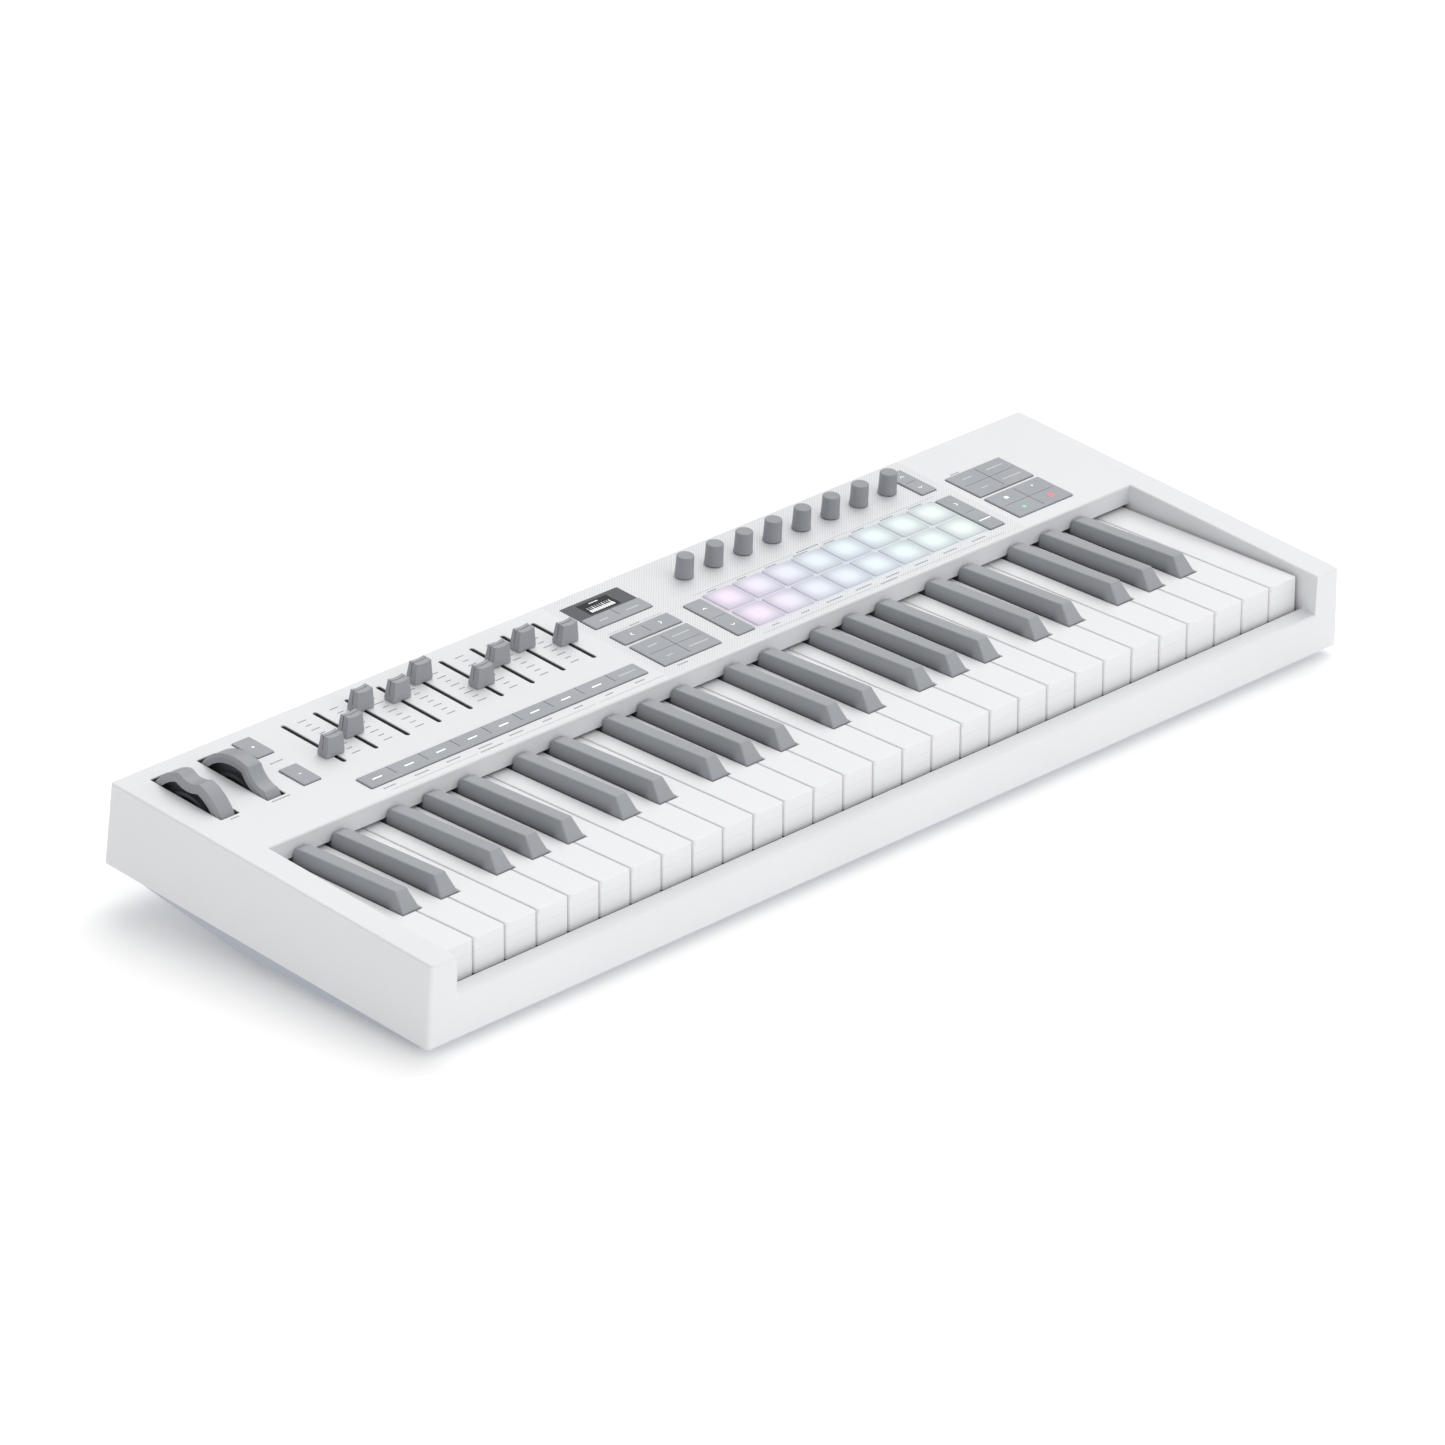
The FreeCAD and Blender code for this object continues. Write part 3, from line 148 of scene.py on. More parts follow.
class Finish:
    """One material and the nodes that make it."""

    def __init__(self, name):
        self.material = bpy.data.materials.new(name)
        self.material.use_nodes = True
        self.tree = self.material.node_tree
        self.tree.nodes.clear()
        self.place = self.node("ShaderNodeTexCoord", {}, {}).outputs["Object"]
        self.shader = self.node("ShaderNodeBsdfPrincipled", {}, {})
        self.node("ShaderNodeOutputMaterial", {}, {"Surface": self.shader.outputs[0]})

    def node(self, kind, settings, inputs):
        made = self.tree.nodes.new(kind)
        for name, setting in settings.items():
            if name == "stops":
                self.set_stops(made.color_ramp, setting)
            else:
                setattr(made, name, setting)
        for key, value in inputs.items():
            self.feed(made.inputs[key], value)
        return made

    def set_stops(self, ramp, stops):
        while len(ramp.elements) < len(stops):
            ramp.elements.new(1.0)
        for element, (position, colour) in zip(ramp.elements, stops):
            element.position = position
            element.color = (*colour, 1.0)

    def feed(self, socket, value):
        if isinstance(value, Value):
            self.tree.links.new(value.socket, socket)
        elif isinstance(value, bpy.types.NodeSocket):
            self.tree.links.new(value, socket)
        else:
            socket.default_value = value

    def set(self, **values):
        for name, value in values.items():
            self.feed(self.shader.inputs[name.replace("_", " ")], value)

    def along(self, direction):
        """How far a point lies along a direction, in metres."""
        settings = {"operation": "DOT_PRODUCT"}
        made = self.node("ShaderNodeVectorMath", settings, {0: self.place, 1: direction})
        return Value(self, made.outputs["Value"])

    def deck_height(self):
        """How far a point lies above the deck, below zero inside the case."""
        return self.along(deck_normal) - deck_level

    def stretched(self, scale):
        return self.node("ShaderNodeMapping", {}, {"Vector": self.place, "Scale": scale}).outputs[0]

    def noise(self, scale, detail=2.0, roughness=0.5, place=None):
        inputs = {"Vector": place or self.place, "Scale": scale, "Detail": detail, "Roughness": roughness}
        return Value(self, self.node("ShaderNodeTexNoise", {}, inputs).outputs["Fac"])

    def cells(self, scale):
        inputs = {"Vector": self.place, "Scale": scale}
        return Value(self, self.node("ShaderNodeTexVoronoi", {}, inputs).outputs["Distance"])

    def mix(self, factor, first, second):
        settings = {"data_type": "RGBA"}
        made = self.node("ShaderNodeMix", settings, {0: factor, 6: as_colour(first), 7: as_colour(second)})
        return made.outputs[2]

    def ramp(self, value, stops):
        return self.node("ShaderNodeValToRGB", {"stops": stops}, {0: value}).outputs[0]

    def bump(self, height, strength, distance):
        inputs = {"Height": height, "Strength": strength, "Distance": distance}
        self.feed(self.shader.inputs["Normal"], self.node("ShaderNodeBump", {}, inputs).outputs[0])


def as_colour(value):
    return (*value, 1.0) if isinstance(value, tuple) else value


def tinted(colour, share):
    return tuple(min(1.0, part * share) for part in colour)


# ---------------------------------------------------------------- finishes
def moulded(name, colour, roughness, grain, depth, mottle=0.04):
    """Moulded plastic: a fine spark-eroded grain, slow colour drift and uneven gloss."""
    finish = Finish(name)
    drift = finish.noise(9.0, 3.0).ease(0.3, 0.7)
    speck = finish.noise(grain, 2.0)
    base = finish.mix(drift, tinted(colour, 1.0 - mottle), tinted(colour, 1.0 + mottle / 2.0))
    finish.set(Base_Color=base, Roughness=finish.noise(60.0, 3.0) * 0.14 + (roughness - 0.07))
    finish.bump(speck, 0.22, depth)
    return finish


def case_finish():
    """White casing: fine grain, faint rows of dots round the controls, dark shielding paint and painted
    shade inside and round the keys.
    """
    finish = Finish("case_plastic_white")
    dots = case_dots(finish)
    drift = finish.noise(7.0, 3.0).ease(0.3, 0.7)
    plain = finish.mix(drift, (0.775, 0.78, 0.797), (0.795, 0.80, 0.817))
    dotted = finish.mix(dots * 0.8, plain, (0.55, 0.565, 0.60))
    # dark shielding paint and painted shade inside the case and round the keys
    finish.set(Base_Color=finish.mix(outside_of_shield_and_shade(finish), DARK_SHIELD_AND_SHADE, dotted))
    finish.set(Roughness=finish.noise(50.0, 3.0) * 0.12 + 0.50)
    finish.bump(finish.noise(2600.0, 2.0) - dots * 1.4, 0.16, 0.05 * MM)
    return finish


def case_dots(finish):
    """Dots in two offset rows on the deck, from the display to the scene buttons."""
    side = finish.along(across)
    depth = finish.along(back)
    scene_low, scene_high = deck_box("scene_buttons")
    left = deck_box("display_buttons")[0].x - 5.0 * MM
    right = scene_high.x + 6.0 * MM
    front = scene_low.y - 9.0 * MM
    rear = deck_box("encoder_bank_buttons")[1].y + 8.0 * MM
    on_deck = finish.deck_height().above(-0.1 * MM)
    first = dot_row(side / DOT_PITCH, depth / DOT_PITCH)
    second = dot_row(side / DOT_PITCH + 0.5, depth / DOT_PITCH + 0.5)
    return (first + second) * side.between(left, right) * depth.between(front, rear) * on_deck


def outside_of_shield_and_shade(finish):
    """0 on the shielding paint and painted shade under the deck and on the painted shade round the keys, 1
    on every outer face.
    """
    side = finish.along(across)
    depth = finish.along(back)
    low, high = deck_box("top_case")
    rear_wall = high.y - 5.0 * MM
    strip_front = deck_box("fader_button_strip")[0].y
    # shielding paint with painted shade in the slots and under the deck
    under_deck = finish.deck_height().below(-0.7 * MM) * depth.between(strip_front - 8.0 * MM, rear_wall)
    shield_paint_and_shade = under_deck * side.between(low.x + 6.0 * MM, high.x - 6.0 * MM)
    keys_low = deck_box("white_keys_octave_1")[0]
    # painted shade on the walls round and under the keys
    under_keys = finish.along(UP).below(world_top("white_keys_octave_1") - 2.0 * MM)
    pit_shade = under_keys * side.between(keys_low.x - 1.0 * MM, 1.0 * MM - keys_low.x)
    pit_shade = pit_shade * depth.between(keys_low.y + 2.0 * MM, rear_wall)
    return (shield_paint_and_shade + pit_shade).below(0.5)


def dot_row(first, second):
    """Round dots, one in the middle of each unit square."""
    from_middle = (first.fraction() - 0.5) ** 2.0 + (second.fraction() - 0.5) ** 2.0
    return 1.0 - from_middle.ease(0.02, 0.05)


def white_key_finish():
    """Satin white keys: almost smooth, a thin darker line with a slight groove under the front edge, faint
    finger shine.
    """
    finish = Finish("white_key_plastic_satin")
    low, high = deck_box("white_keys_octave_1")
    on_front = finish.along(back).below(low.y + 1.6 * MM)
    from_line = abs(finish.deck_height() - (high.z - 8.8 * MM))
    line = on_front * (1.0 - from_line.ease(0.05 * MM, 0.22 * MM))
    touched = finish.noise(26.0, 4.0).ease(0.45, 0.75)
    drift = finish.noise(8.0, 2.0)
    plain = finish.mix(drift, (0.825, 0.83, 0.84), (0.835, 0.84, 0.85))
    finish.set(Base_Color=finish.mix(line * 0.45, plain, (0.62, 0.63, 0.66)))
    finish.set(Roughness=touched * 0.05 + 0.36)
    finish.set(Coat_Weight=0.06, Coat_Roughness=0.25)
    finish.bump(finish.noise(900.0, 2.0) * 0.3 - line * 2.0, 0.05, 0.03 * MM)
    return finish


def grey_key_finish():
    """Short keys: fine matte grain, painted shade darkening them down their sides, a touch of shine where
    fingers land.
    """
    finish = Finish("short_key_plastic_grey")
    touched = finish.noise(30.0, 4.0).ease(0.45, 0.8)
    drift = finish.noise(10.0, 3.0)
    top = world_top("black_keys_octave_1")
    front = deck_box("black_keys_octave_1")[0].y
    crown = finish.mix(drift, (0.335, 0.35, 0.372), (0.355, 0.37, 0.392))
    near_top = finish.along(UP).ease(top - 13.0 * MM, top - 1.2 * MM)
    behind_nose = (finish.along(back) - front).ease(8.0 * MM, 14.0 * MM)
    # painted shade: the sides darken towards their foot behind the nose
    shade = behind_nose * (1.0 - near_top) ** 1.5
    finish.set(Base_Color=finish.mix(shade * 0.85, crown, (0.085, 0.092, 0.108)))
    finish.set(Roughness=0.54 - touched * 0.10)
    finish.bump(finish.noise(3200.0, 2.0), 0.2, 0.04 * MM)
    return finish


def wheel_finish(name):
    """A wheel: the cap plastic on its tread, painted shade near black in the hollow under its rim."""
    finish = Finish(name + "_plastic_grey")
    low, high = deck_box(name)
    axle_low, axle_high = deck_box("wheel_axles")
    rise = finish.deck_height() - (axle_low.z + axle_high.z) / 2.0
    reach = finish.along(back) - (axle_low.y + axle_high.y) / 2.0
    radius = (rise ** 2.0 + reach ** 2.0).root()
    off_middle = abs(finish.along(across) - (low.x + high.x) / 2.0)
    between_sides = off_middle.below((high.x - low.x) / 2.0 - 0.4 * MM)
    # painted shade: the hollow under the rim is made near black
    inside = (1.0 - radius.ease(WHEEL_RIM, WHEEL_RIM + 0.5 * MM)) * between_sides
    drift = finish.noise(20.0, 3.0)
    tread = finish.mix(drift, (0.30, 0.313, 0.335), (0.325, 0.338, 0.36))
    finish.set(Base_Color=finish.mix(inside, tread, (0.075, 0.08, 0.092)))
    finish.set(Roughness=finish.noise(60.0, 3.0) * 0.12 + 0.42)
    finish.bump(finish.noise(3600.0, 2.0), 0.2, 0.035 * MM)
    return finish


def button_finish():
    """Soft silicone buttons: even grain, a slight bloom, painted shade darker down in the slits and gaps."""
    finish = Finish("button_silicone_grey")
    level = deck_box("transport_buttons")[1].z
    bloom = finish.noise(40.0, 4.0).ease(0.35, 0.75)
    depth = level - finish.deck_height()
    top = finish.mix(bloom, (0.345, 0.366, 0.39), (0.37, 0.392, 0.417))
    # painted shade: darker with depth below the button tops, down in the slits and gaps
    finish.set(Base_Color=finish.mix(depth.ease(0.5 * MM, 1.0 * MM), top, DARK_SHIELD_AND_SHADE))
    finish.set(Roughness=finish.noise(90.0, 2.0) * 0.10 + 0.56)
    finish.set(Sheen_Weight=0.10, Sheen_Roughness=0.5)
    finish.bump(finish.noise(2800.0, 2.0), 0.18, 0.04 * MM)
    return finish


def pad_finish(row):
    """Translucent pads lit from below: each glows in its middle and greys towards its edges."""
    finish = Finish(row + "_lit_silicone")
    low, high = deck_box(row)
    pitch = (deck_box("encoder_knob_8")[0].x - deck_box("encoder_knob_1")[0].x) / 7.0
    half = (pitch - PAD_GAP) / 2.0
    first_pad = low.x + PAD_ROW_INSET + half
    side = ((finish.along(across) - first_pad) / pitch + 0.5).fraction() - 0.5
    side = side * (pitch / half)
    depth = (finish.along(back) - (low.y + high.y) / 2.0) / half
    from_middle = (abs(side) ** 2.6 + abs(depth) ** 2.6) ** 0.385
    glow = 1.0 - from_middle.ease(0.22, 1.18)
    lamp = finish.ramp((finish.along(across) - low.x) / (high.x - low.x), PAD_LAMPS)
    cloud = finish.noise(120.0, 3.0)
    edge = finish.mix(0.30, (0.43, 0.45, 0.50), lamp)
    centre = finish.mix(0.16, lamp, (0.0, 0.0, 0.0))
    finish.set(Base_Color=finish.mix(glow, edge, centre))
    wall = finish.deck_height().below(high.z - 0.7 * MM)
    shine = glow * (cloud * 0.1 + 0.92) * (1.0 - wall) + wall * 3.0
    finish.set(Emission_Color=finish.mix(shine * 0.25, (0.0, 0.0, 0.0), lamp))
    finish.set(Emission_Strength=0.52, Roughness=finish.noise(200.0, 2.0) * 0.1 + 0.5)
    finish.bump(finish.noise(2400.0, 2.0), 0.14, 0.04 * MM)
    return finish


def lens_finish():
    """Smoked display window: dark, glossy, with a few fine hairlines."""
    finish = Finish("display_glass_smoked")
    hair = finish.noise(160.0, 4.0, 0.6, finish.stretched((1.0, 14.0, 1.0)))
    finish.set(Base_Color=finish.mix(finish.noise(30.0), (0.050, 0.055, 0.066), (0.060, 0.065, 0.076)))
    finish.set(Roughness=hair.ease(0.6, 0.8) * 0.10 + 0.22, Specular_IOR_Level=0.22)
    finish.bump(hair, 0.02, 0.02 * MM)
    return finish


def screen_finish():
    """Black display panel with its fine grid of cells."""
    finish = Finish("display_black")
    cell = 0.25 * MM
    grid = (finish.along(across) / cell).fraction().below(0.16)
    grid = grid + (finish.along(back) / cell).fraction().below(0.16)
    finish.set(Base_Color=finish.mix(grid * 0.5, (0.006, 0.006, 0.008), (0.016, 0.017, 0.02)))
    finish.set(Roughness=finish.noise(300.0) * 0.08 + 0.4, Specular_IOR_Level=0.15)
    finish.bump(grid, 0.05, 0.01 * MM)
    return finish


def lamp_finish(name, colour, strength):
    """Light through a moulded window, a little uneven in its brightness."""
    finish = Finish(name)
    cloud = finish.noise(900.0, 2.0)
    finish.set(Base_Color=finish.mix(cloud, tinted(colour, 0.85), colour))
    finish.set(Emission_Color=finish.mix(cloud, tinted(colour, 0.8), colour), Emission_Strength=strength)
    finish.set(Roughness=cloud * 0.1 + 0.35)
    finish.bump(cloud, 0.05, 0.01 * MM)
    return finish


def ink_finish(name, colour):
    """Screen-printed ink: thin, slightly uneven in density."""
    finish = Finish(name)
    density = finish.noise(1500.0, 3.0)
    finish.set(Base_Color=finish.mix(density, tinted(colour, 0.9), tinted(colour, 1.1)))
    finish.set(Roughness=density * 0.1 + 0.5)
    finish.bump(density, 0.1, 0.01 * MM)
    return finish


def steel_finish():
    """Drawn and pressed steel: fine lines along its length, light stains."""
    finish = Finish("steel_drawn")
    lines = finish.noise(220.0, 3.0, 0.6, finish.stretched((1.0, 20.0, 20.0)))
    stain = finish.noise(35.0, 4.0).ease(0.4, 0.8)
    finish.set(Base_Color=finish.mix(stain, (0.62, 0.625, 0.63), (0.50, 0.50, 0.50)))
    finish.set(Metallic=1.0, Roughness=lines * 0.16 + 0.24)
    finish.bump(lines, 0.08, 0.02 * MM)
    return finish


def felt_finish():
    """Dense pressed felt with a fuzzy surface."""
    finish = Finish("felt_dense_red")
    fibre = finish.noise(1400.0, 6.0, 0.7)
    clump = finish.noise(180.0, 3.0)
    finish.set(Base_Color=finish.mix(fibre * 0.6 + clump * 0.4, (0.20, 0.028, 0.03), (0.36, 0.06, 0.06)))
    finish.set(Roughness=fibre * 0.1 + 0.88, Sheen_Weight=0.6, Sheen_Roughness=0.5)
    finish.bump(fibre, 0.8, 0.3 * MM)
    return finish


def board_finish():
    """Circuit board: solder mask over copper tracks, with small bright joints."""
    finish = Finish("circuit_board_green")
    side = finish.along(across) / (3.0 * MM)
    depth = finish.along(back) / (2.2 * MM)
    wander = finish.noise(60.0, 2.0)
    tracks = (depth + wander * 2.0).fraction().below(0.3)
    joints = dot_row(side, depth) * finish.noise(150.0).above(0.55)
    mask = finish.mix(tracks, (0.012, 0.085, 0.04), (0.022, 0.15, 0.07))
    finish.set(Base_Color=finish.mix(joints, mask, (0.62, 0.63, 0.64)))
    finish.set(Metallic=joints, Roughness=0.45 - joints * 0.15)
    finish.bump(tracks + joints * 2.0, 0.3, 0.04 * MM)
    return finish


def rubber_finish(name, colour, roughness):
    """Moulded rubber: dull, pored, dusty in patches."""
    finish = Finish(name)
    dust = finish.noise(70.0, 4.0).ease(0.5, 0.8)
    pores = finish.cells(1800.0)
    finish.set(Base_Color=finish.mix(dust * 0.4, colour, tinted(colour, 1.8)))
    finish.set(Roughness=dust * 0.1 + roughness)
    finish.bump(pores, 0.25, 0.06 * MM)
    return finish


case_white = case_finish().material
tray_grey = moulded("tray_plastic_blue_grey", (0.50, 0.54, 0.60), 0.55, 2400.0, 0.05 * MM).material
key_white = white_key_finish().material
key_grey = grey_key_finish().material
cap_grey = moulded("cap_plastic_grey", (0.29, 0.302, 0.325), 0.48, 3600.0, 0.035 * MM, 0.05).material
fader_grey = moulded("fader_plastic_grey", (0.335, 0.348, 0.372), 0.46, 3600.0, 0.035 * MM, 0.05).material
button_grey = button_finish().material
lens_dark = lens_finish().material
screen_black = screen_finish().material
steel = steel_finish().material
felt_red = felt_finish().material
board_green = board_finish().material
dome_grey = rubber_finish("dome_rubber_grey", (0.10, 0.10, 0.105), 0.6).material
foot_black = rubber_finish("foot_rubber_black", (0.018, 0.018, 0.019), 0.75).material
frame_black = moulded("frame_plastic_black", (0.03, 0.03, 0.032), 0.55, 1800.0, 0.06 * MM).material
socket_black = moulded("socket_plastic_black", (0.02, 0.02, 0.021), 0.4, 2200.0, 0.03 * MM).material
ink_grey = ink_finish("print_ink_grey", (0.20, 0.205, 0.225)).material
ink_pale = ink_finish("print_ink_pale_grey", (0.30, 0.31, 0.335)).material
ink_white = lamp_finish("legend_white", (0.95, 0.96, 0.97), 0.60).material
ink_soft = ink_finish("print_ink_soft_white", (0.68, 0.695, 0.71)).material
lamp_white = lamp_finish("lamp_white", (0.95, 0.95, 0.95), 0.70).material
lamp_green = lamp_finish("lamp_green", (0.10, 0.90, 0.22), 0.5).material
lamp_red = lamp_finish("lamp_red", (0.95, 0.10, 0.16), 0.5).material
screen_white = lamp_finish("display_white", (0.90, 0.93, 0.95), 0.25).material

finish_of_slot = {
    "case_plastic": case_white,
    "tray_plastic": tray_grey,
    "white_key_plastic": key_white,
    "grey_key_plastic": key_grey,
    "grey_cap_plastic": cap_grey,
    "grey_button_silicone": button_grey,
    "display_glass": lens_dark,
    "display_dark": screen_black,
    "frame_plastic": frame_black,
    "steel": steel,
    "felt": felt_red,
    "circuit_board": board_green,
    "dome_rubber": dome_grey,
    "socket_black": socket_black,
    "foot_rubber": foot_black,
}


def dress(node, material):
    if not nodes[node].material_slots:
        nodes[node].data.materials.append(material)
    for slot in nodes[node].material_slots:
        slot.material = material


for part in frame["record"]["subparts"]:
    if part["material_slot"] in finish_of_slot:
        dress(part["node"], finish_of_slot[part["material_slot"]])
for number in range(1, 10):
    dress("fader_cap_" + str(number), fader_grey)
for wheel in ("pitch_wheel", "modulation_wheel"):
    dress(wheel, wheel_finish(wheel).material)
for row in ("pads_front_row", "pads_rear_row"):
    dress(row, pad_finish(row).material)


# ---------------------------------------------------------------- flat shapes for printing and lamps
PRINT = 0.03 * MM  # half the thickness of a print
RULE_HALF = 0.11 * MM
DECK_WORD = 1.05 * MM
BUTTON_WORD = 0.9 * MM
DASHES = (1.3, 0.8, 1.1, 0.7, 1.5, 0.9)  # dash lengths in turn, as shares of a word's height
DASH_GAP = 0.26
CHEVRON_REACH = 1.5 * MM
ROUND_SIGN = 1.75 * MM
TO_REAR, TO_FRONT = 0.0, math.radians(180.0)
TO_LEFT, TO_RIGHT = math.radians(90.0), math.radians(-90.0)


def bar(shape, left, right, front, rear, level, corner=0.0):
    """A thin slab, its corners rounded if asked, lying on a face at that level above the deck."""
    made = bmesh.ops.create_cube(shape, size=1.0)["verts"]
    bmesh.ops.scale(shape, vec=(right - left, rear - front, 2.0 * PRINT), verts=made)
    bmesh.ops.translate(shape, vec=((left + right) / 2.0, (front + rear) / 2.0, level), verts=made)
    if corner > 0.0:
        upright = {edge for vertex in made for edge in vertex.link_edges if is_upright(edge)}
        offset = min(corner, min(right - left, rear - front) * 0.49)
        bmesh.ops.bevel(
            shape, geom=list(upright), offset=offset, affect="EDGES", segments=3, profile=0.5, material=-1
        )


def slab(shape, x, y, half_width, half_depth, level, corner=0.0):
    """A bar given by its middle."""
    bar(shape, x - half_width, x + half_width, y - half_depth, y + half_depth, level, corner)


def is_upright(edge):
    first, second = (vertex.co for vertex in edge.verts)
    return abs(first.x - second.x) + abs(first.y - second.y) < 1e-9


def raised(shape, faces):
    """Gives flat faces the thickness of the print."""
    made = bmesh.ops.extrude_face_region(shape, geom=faces)["geom"]
    top = [item for item in made if isinstance(item, bmesh.types.BMVert)]
    bmesh.ops.translate(shape, vec=(0.0, 0.0, 2.0 * PRINT), verts=top)


def chevron(shape, x, y, level, turn):
    """An arrow head."""
    made = bmesh.ops.create_grid(shape, x_segments=2, y_segments=1, size=1.0)["verts"]
    bmesh.ops.scale(shape, vec=(CHEVRON_REACH, 0.15 * CHEVRON_REACH + 0.08 * MM, 1.0), verts=made)
    tip = [vertex for vertex in made if abs(vertex.co.x) < CHEVRON_REACH * 0.1]
    bmesh.ops.translate(shape, vec=(0.0, CHEVRON_REACH * 0.8, 0.0), verts=tip)
    bmesh.ops.translate(shape, vec=(0.0, -CHEVRON_REACH * 0.4, level - PRINT), verts=made)
    place_flat(shape, made, x, y, turn)


def disc(shape, x, y, level, radius, sides, turn):
    """A round sign, or with three sides an arrow head that is filled in."""
    made = bmesh.ops.create_circle(shape, cap_ends=True, segments=sides, radius=radius)["verts"]
    bmesh.ops.translate(shape, vec=(0.0, 0.0, level - PRINT), verts=made)
    place_flat(shape, made, x, y, turn)


def place_flat(shape, made, x, y, turn):
    place = Matrix.Translation((x, y, 0.0)) @ Matrix.Rotation(turn, 4, "Z")
    bmesh.ops.transform(shape, matrix=place, verts=made)
    raised(shape, list({face for vertex in made for face in vertex.link_faces}))


def label(shape, x, y, level, length, height):
    """A row of short dashes that stands for a printed word."""
    start = x - length / 2.0
    stop = x + length / 2.0
    step = 0
    while start < stop - 0.3 * height:
        end = min(start + DASHES[step % len(DASHES)] * height, stop)
        bar(shape, start, end, y - height / 2.0, y + height / 2.0, level, 0.2 * height)
        start = end + DASH_GAP * height
        step += 1


def finish_piece(name, shape, material, body):
    """Turns a shape drawn on the deck into a piece that rides on a body."""
    bmesh.ops.recalc_face_normals(shape, faces=shape.faces)
    bmesh.ops.transform(shape, matrix=deck, verts=shape.verts)
    mesh = bpy.data.meshes.new(name)
    shape.to_mesh(mesh)
    shape.free()
    piece = bpy.data.objects.new(name, mesh)
    bpy.context.scene.collection.objects.link(piece)
    mesh.materials.append(material)
    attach(piece, body)
    return piece


# ---------------------------------------------------------------- printing on the deck
def fader_middle(number):
    return middle("fader_cap_" + str(number))[0]


def fader_scale():
    """Level marks between the faders, long and short in turn."""
    shape = bmesh.new()
    pots_low, pots_high = deck_box("fader_pots")
    first_line = pots_low.y + 8.0 * MM
    step = (pots_high.y - pots_low.y - 15.1 * MM) / 8.0
    for number in range(1, 9):
        between = (fader_middle(number) + fader_middle(number + 1)) / 2.0
        for mark in range(9):
            half_length = (3.2 if mark % 2 == 0 else 2.15) * MM
            slab(shape, between, first_line + mark * step, half_length, 0.33 * MM, 0.0)
    finish_piece("fader_scale_marks", shape, ink_grey, "case")


def heading_spots():
    """Where the heading of each group sits."""
    strip_low = deck_box("fader_button_strip")[0]
    pads_middle = middle("pads_front_row")[0]
    return {
        "strip": (strip_low.x + 85.0 * MM, strip_low.y - 6.3 * MM),
        "front_pads": (pads_middle + 5.0 * MM, deck_box("pads_front_row")[0].y - 6.2 * MM),
        "rear_pads": (pads_middle - 4.0 * MM, deck_box("pads_rear_row")[1].y + 3.7 * MM),
        "track": (middle("track_buttons")[0], deck_box("track_buttons")[1].y + 1.5 * MM),
    }


def rule(shape, left, right, line):
    bar(shape, left, right, line - RULE_HALF, line + RULE_HALF, 0.0)


def split_rule(shape, left, right, heading, gap):
    """A fine rule with a gap for its heading."""
    x, line = heading
    rule(shape, left, x - gap / 2.0, line)
    rule(shape, x + gap / 2.0, right, line)


def deck_rules():
    """Fine rules that bracket each group of controls."""
    shape = bmesh.new()
    headings = heading_spots()
    strip_low, strip_high = deck_box("fader_button_strip")
    split_at = strip_low.x + 165.0 * MM
    split_rule(shape, strip_low.x + 10.0 * MM, split_at, headings["strip"], 22.0 * MM)
    rule(shape, split_at + 3.0 * MM, strip_high.x + 4.0 * MM, headings["strip"][1])
    pads_low, pads_high = deck_box("pads_front_row")
    left, right = pads_low.x - 2.0 * MM, pads_high.x + 6.0 * MM
    split_rule(shape, left, right, headings["front_pads"], 18.0 * MM)
    split_rule(shape, left, right, headings["rear_pads"], 22.0 * MM)
    track_low, track_high = deck_box("track_buttons")
    left, right = track_low.x + 3.0 * MM, track_high.x - 3.0 * MM
    split_rule(shape, left, right, headings["track"], 11.0 * MM)
    finish_piece("deck_group_rules", shape, ink_pale, "case")


def wheel_words():
    """Words beside the wheels and between the octave buttons, each as its place and length."""
    line = deck_box("pads_front_row")[0].y + 25.0 * MM
    words = [
        (middle(wheel)[0] + 1.0 * MM, line, length)
        for wheel, length in (("pitch_wheel", 6.0), ("modulation_wheel", 13.0))
    ]
    gap_line = (deck_box("octave_down_button")[1].y + deck_box("octave_up_button")[0].y) / 2.0
    return words + [(middle("octave_down_button")[0], gap_line, 9.0)]


def fader_words():
    line = deck_box("fader_button_strip")[0].y - 2.6 * MM
    lengths = (9.0, 10.5, 10.5, 10.5, 10.5, 7.0, 7.0, 6.0, 7.5)
    words = [(fader_middle(number), line, length) for number, length in enumerate(lengths, 1)]
    return words + [(*heading_spots()["strip"], 17.0)]


def pad_words():
    """A word before each front pad and behind each rear pad, and the two headings."""
    front_line = deck_box("pads_front_row")[0].y - 2.5 * MM
    rear_line = deck_box("pads_rear_row")[1].y + 1.4 * MM
    front_lengths = (6.0, 6.5, 13.0, 13.0, 11.0, 11.0, 11.0, 11.0)
    rear_lengths = (7.0, 7.5, 9.0, 12.0, 9.0, 10.5, 10.5, 11.5)
    words = []
    for number, (front_length, rear_length) in enumerate(zip(front_lengths, rear_lengths), 1):
        x = middle("encoder_knob_" + str(number))[0]
        words += [(x, front_line, front_length), (x, rear_line, rear_length)]
    headings = heading_spots()
    return words + [(*headings["front_pads"], 14.0), (*headings["rear_pads"], 18.0)]


def button_words():
    scale_low = deck_box("scale_and_chord_buttons")[0]
    capture_low, capture_high = deck_box("capture_buttons")
    return [
        (*heading_spots()["track"], 8.0),
        (scale_low.x + 12.0 * MM, scale_low.y - 2.2 * MM, 8.0),
        (capture_low.x + 12.0 * MM, capture_high.y + 1.2 * MM, 7.0),
    ]


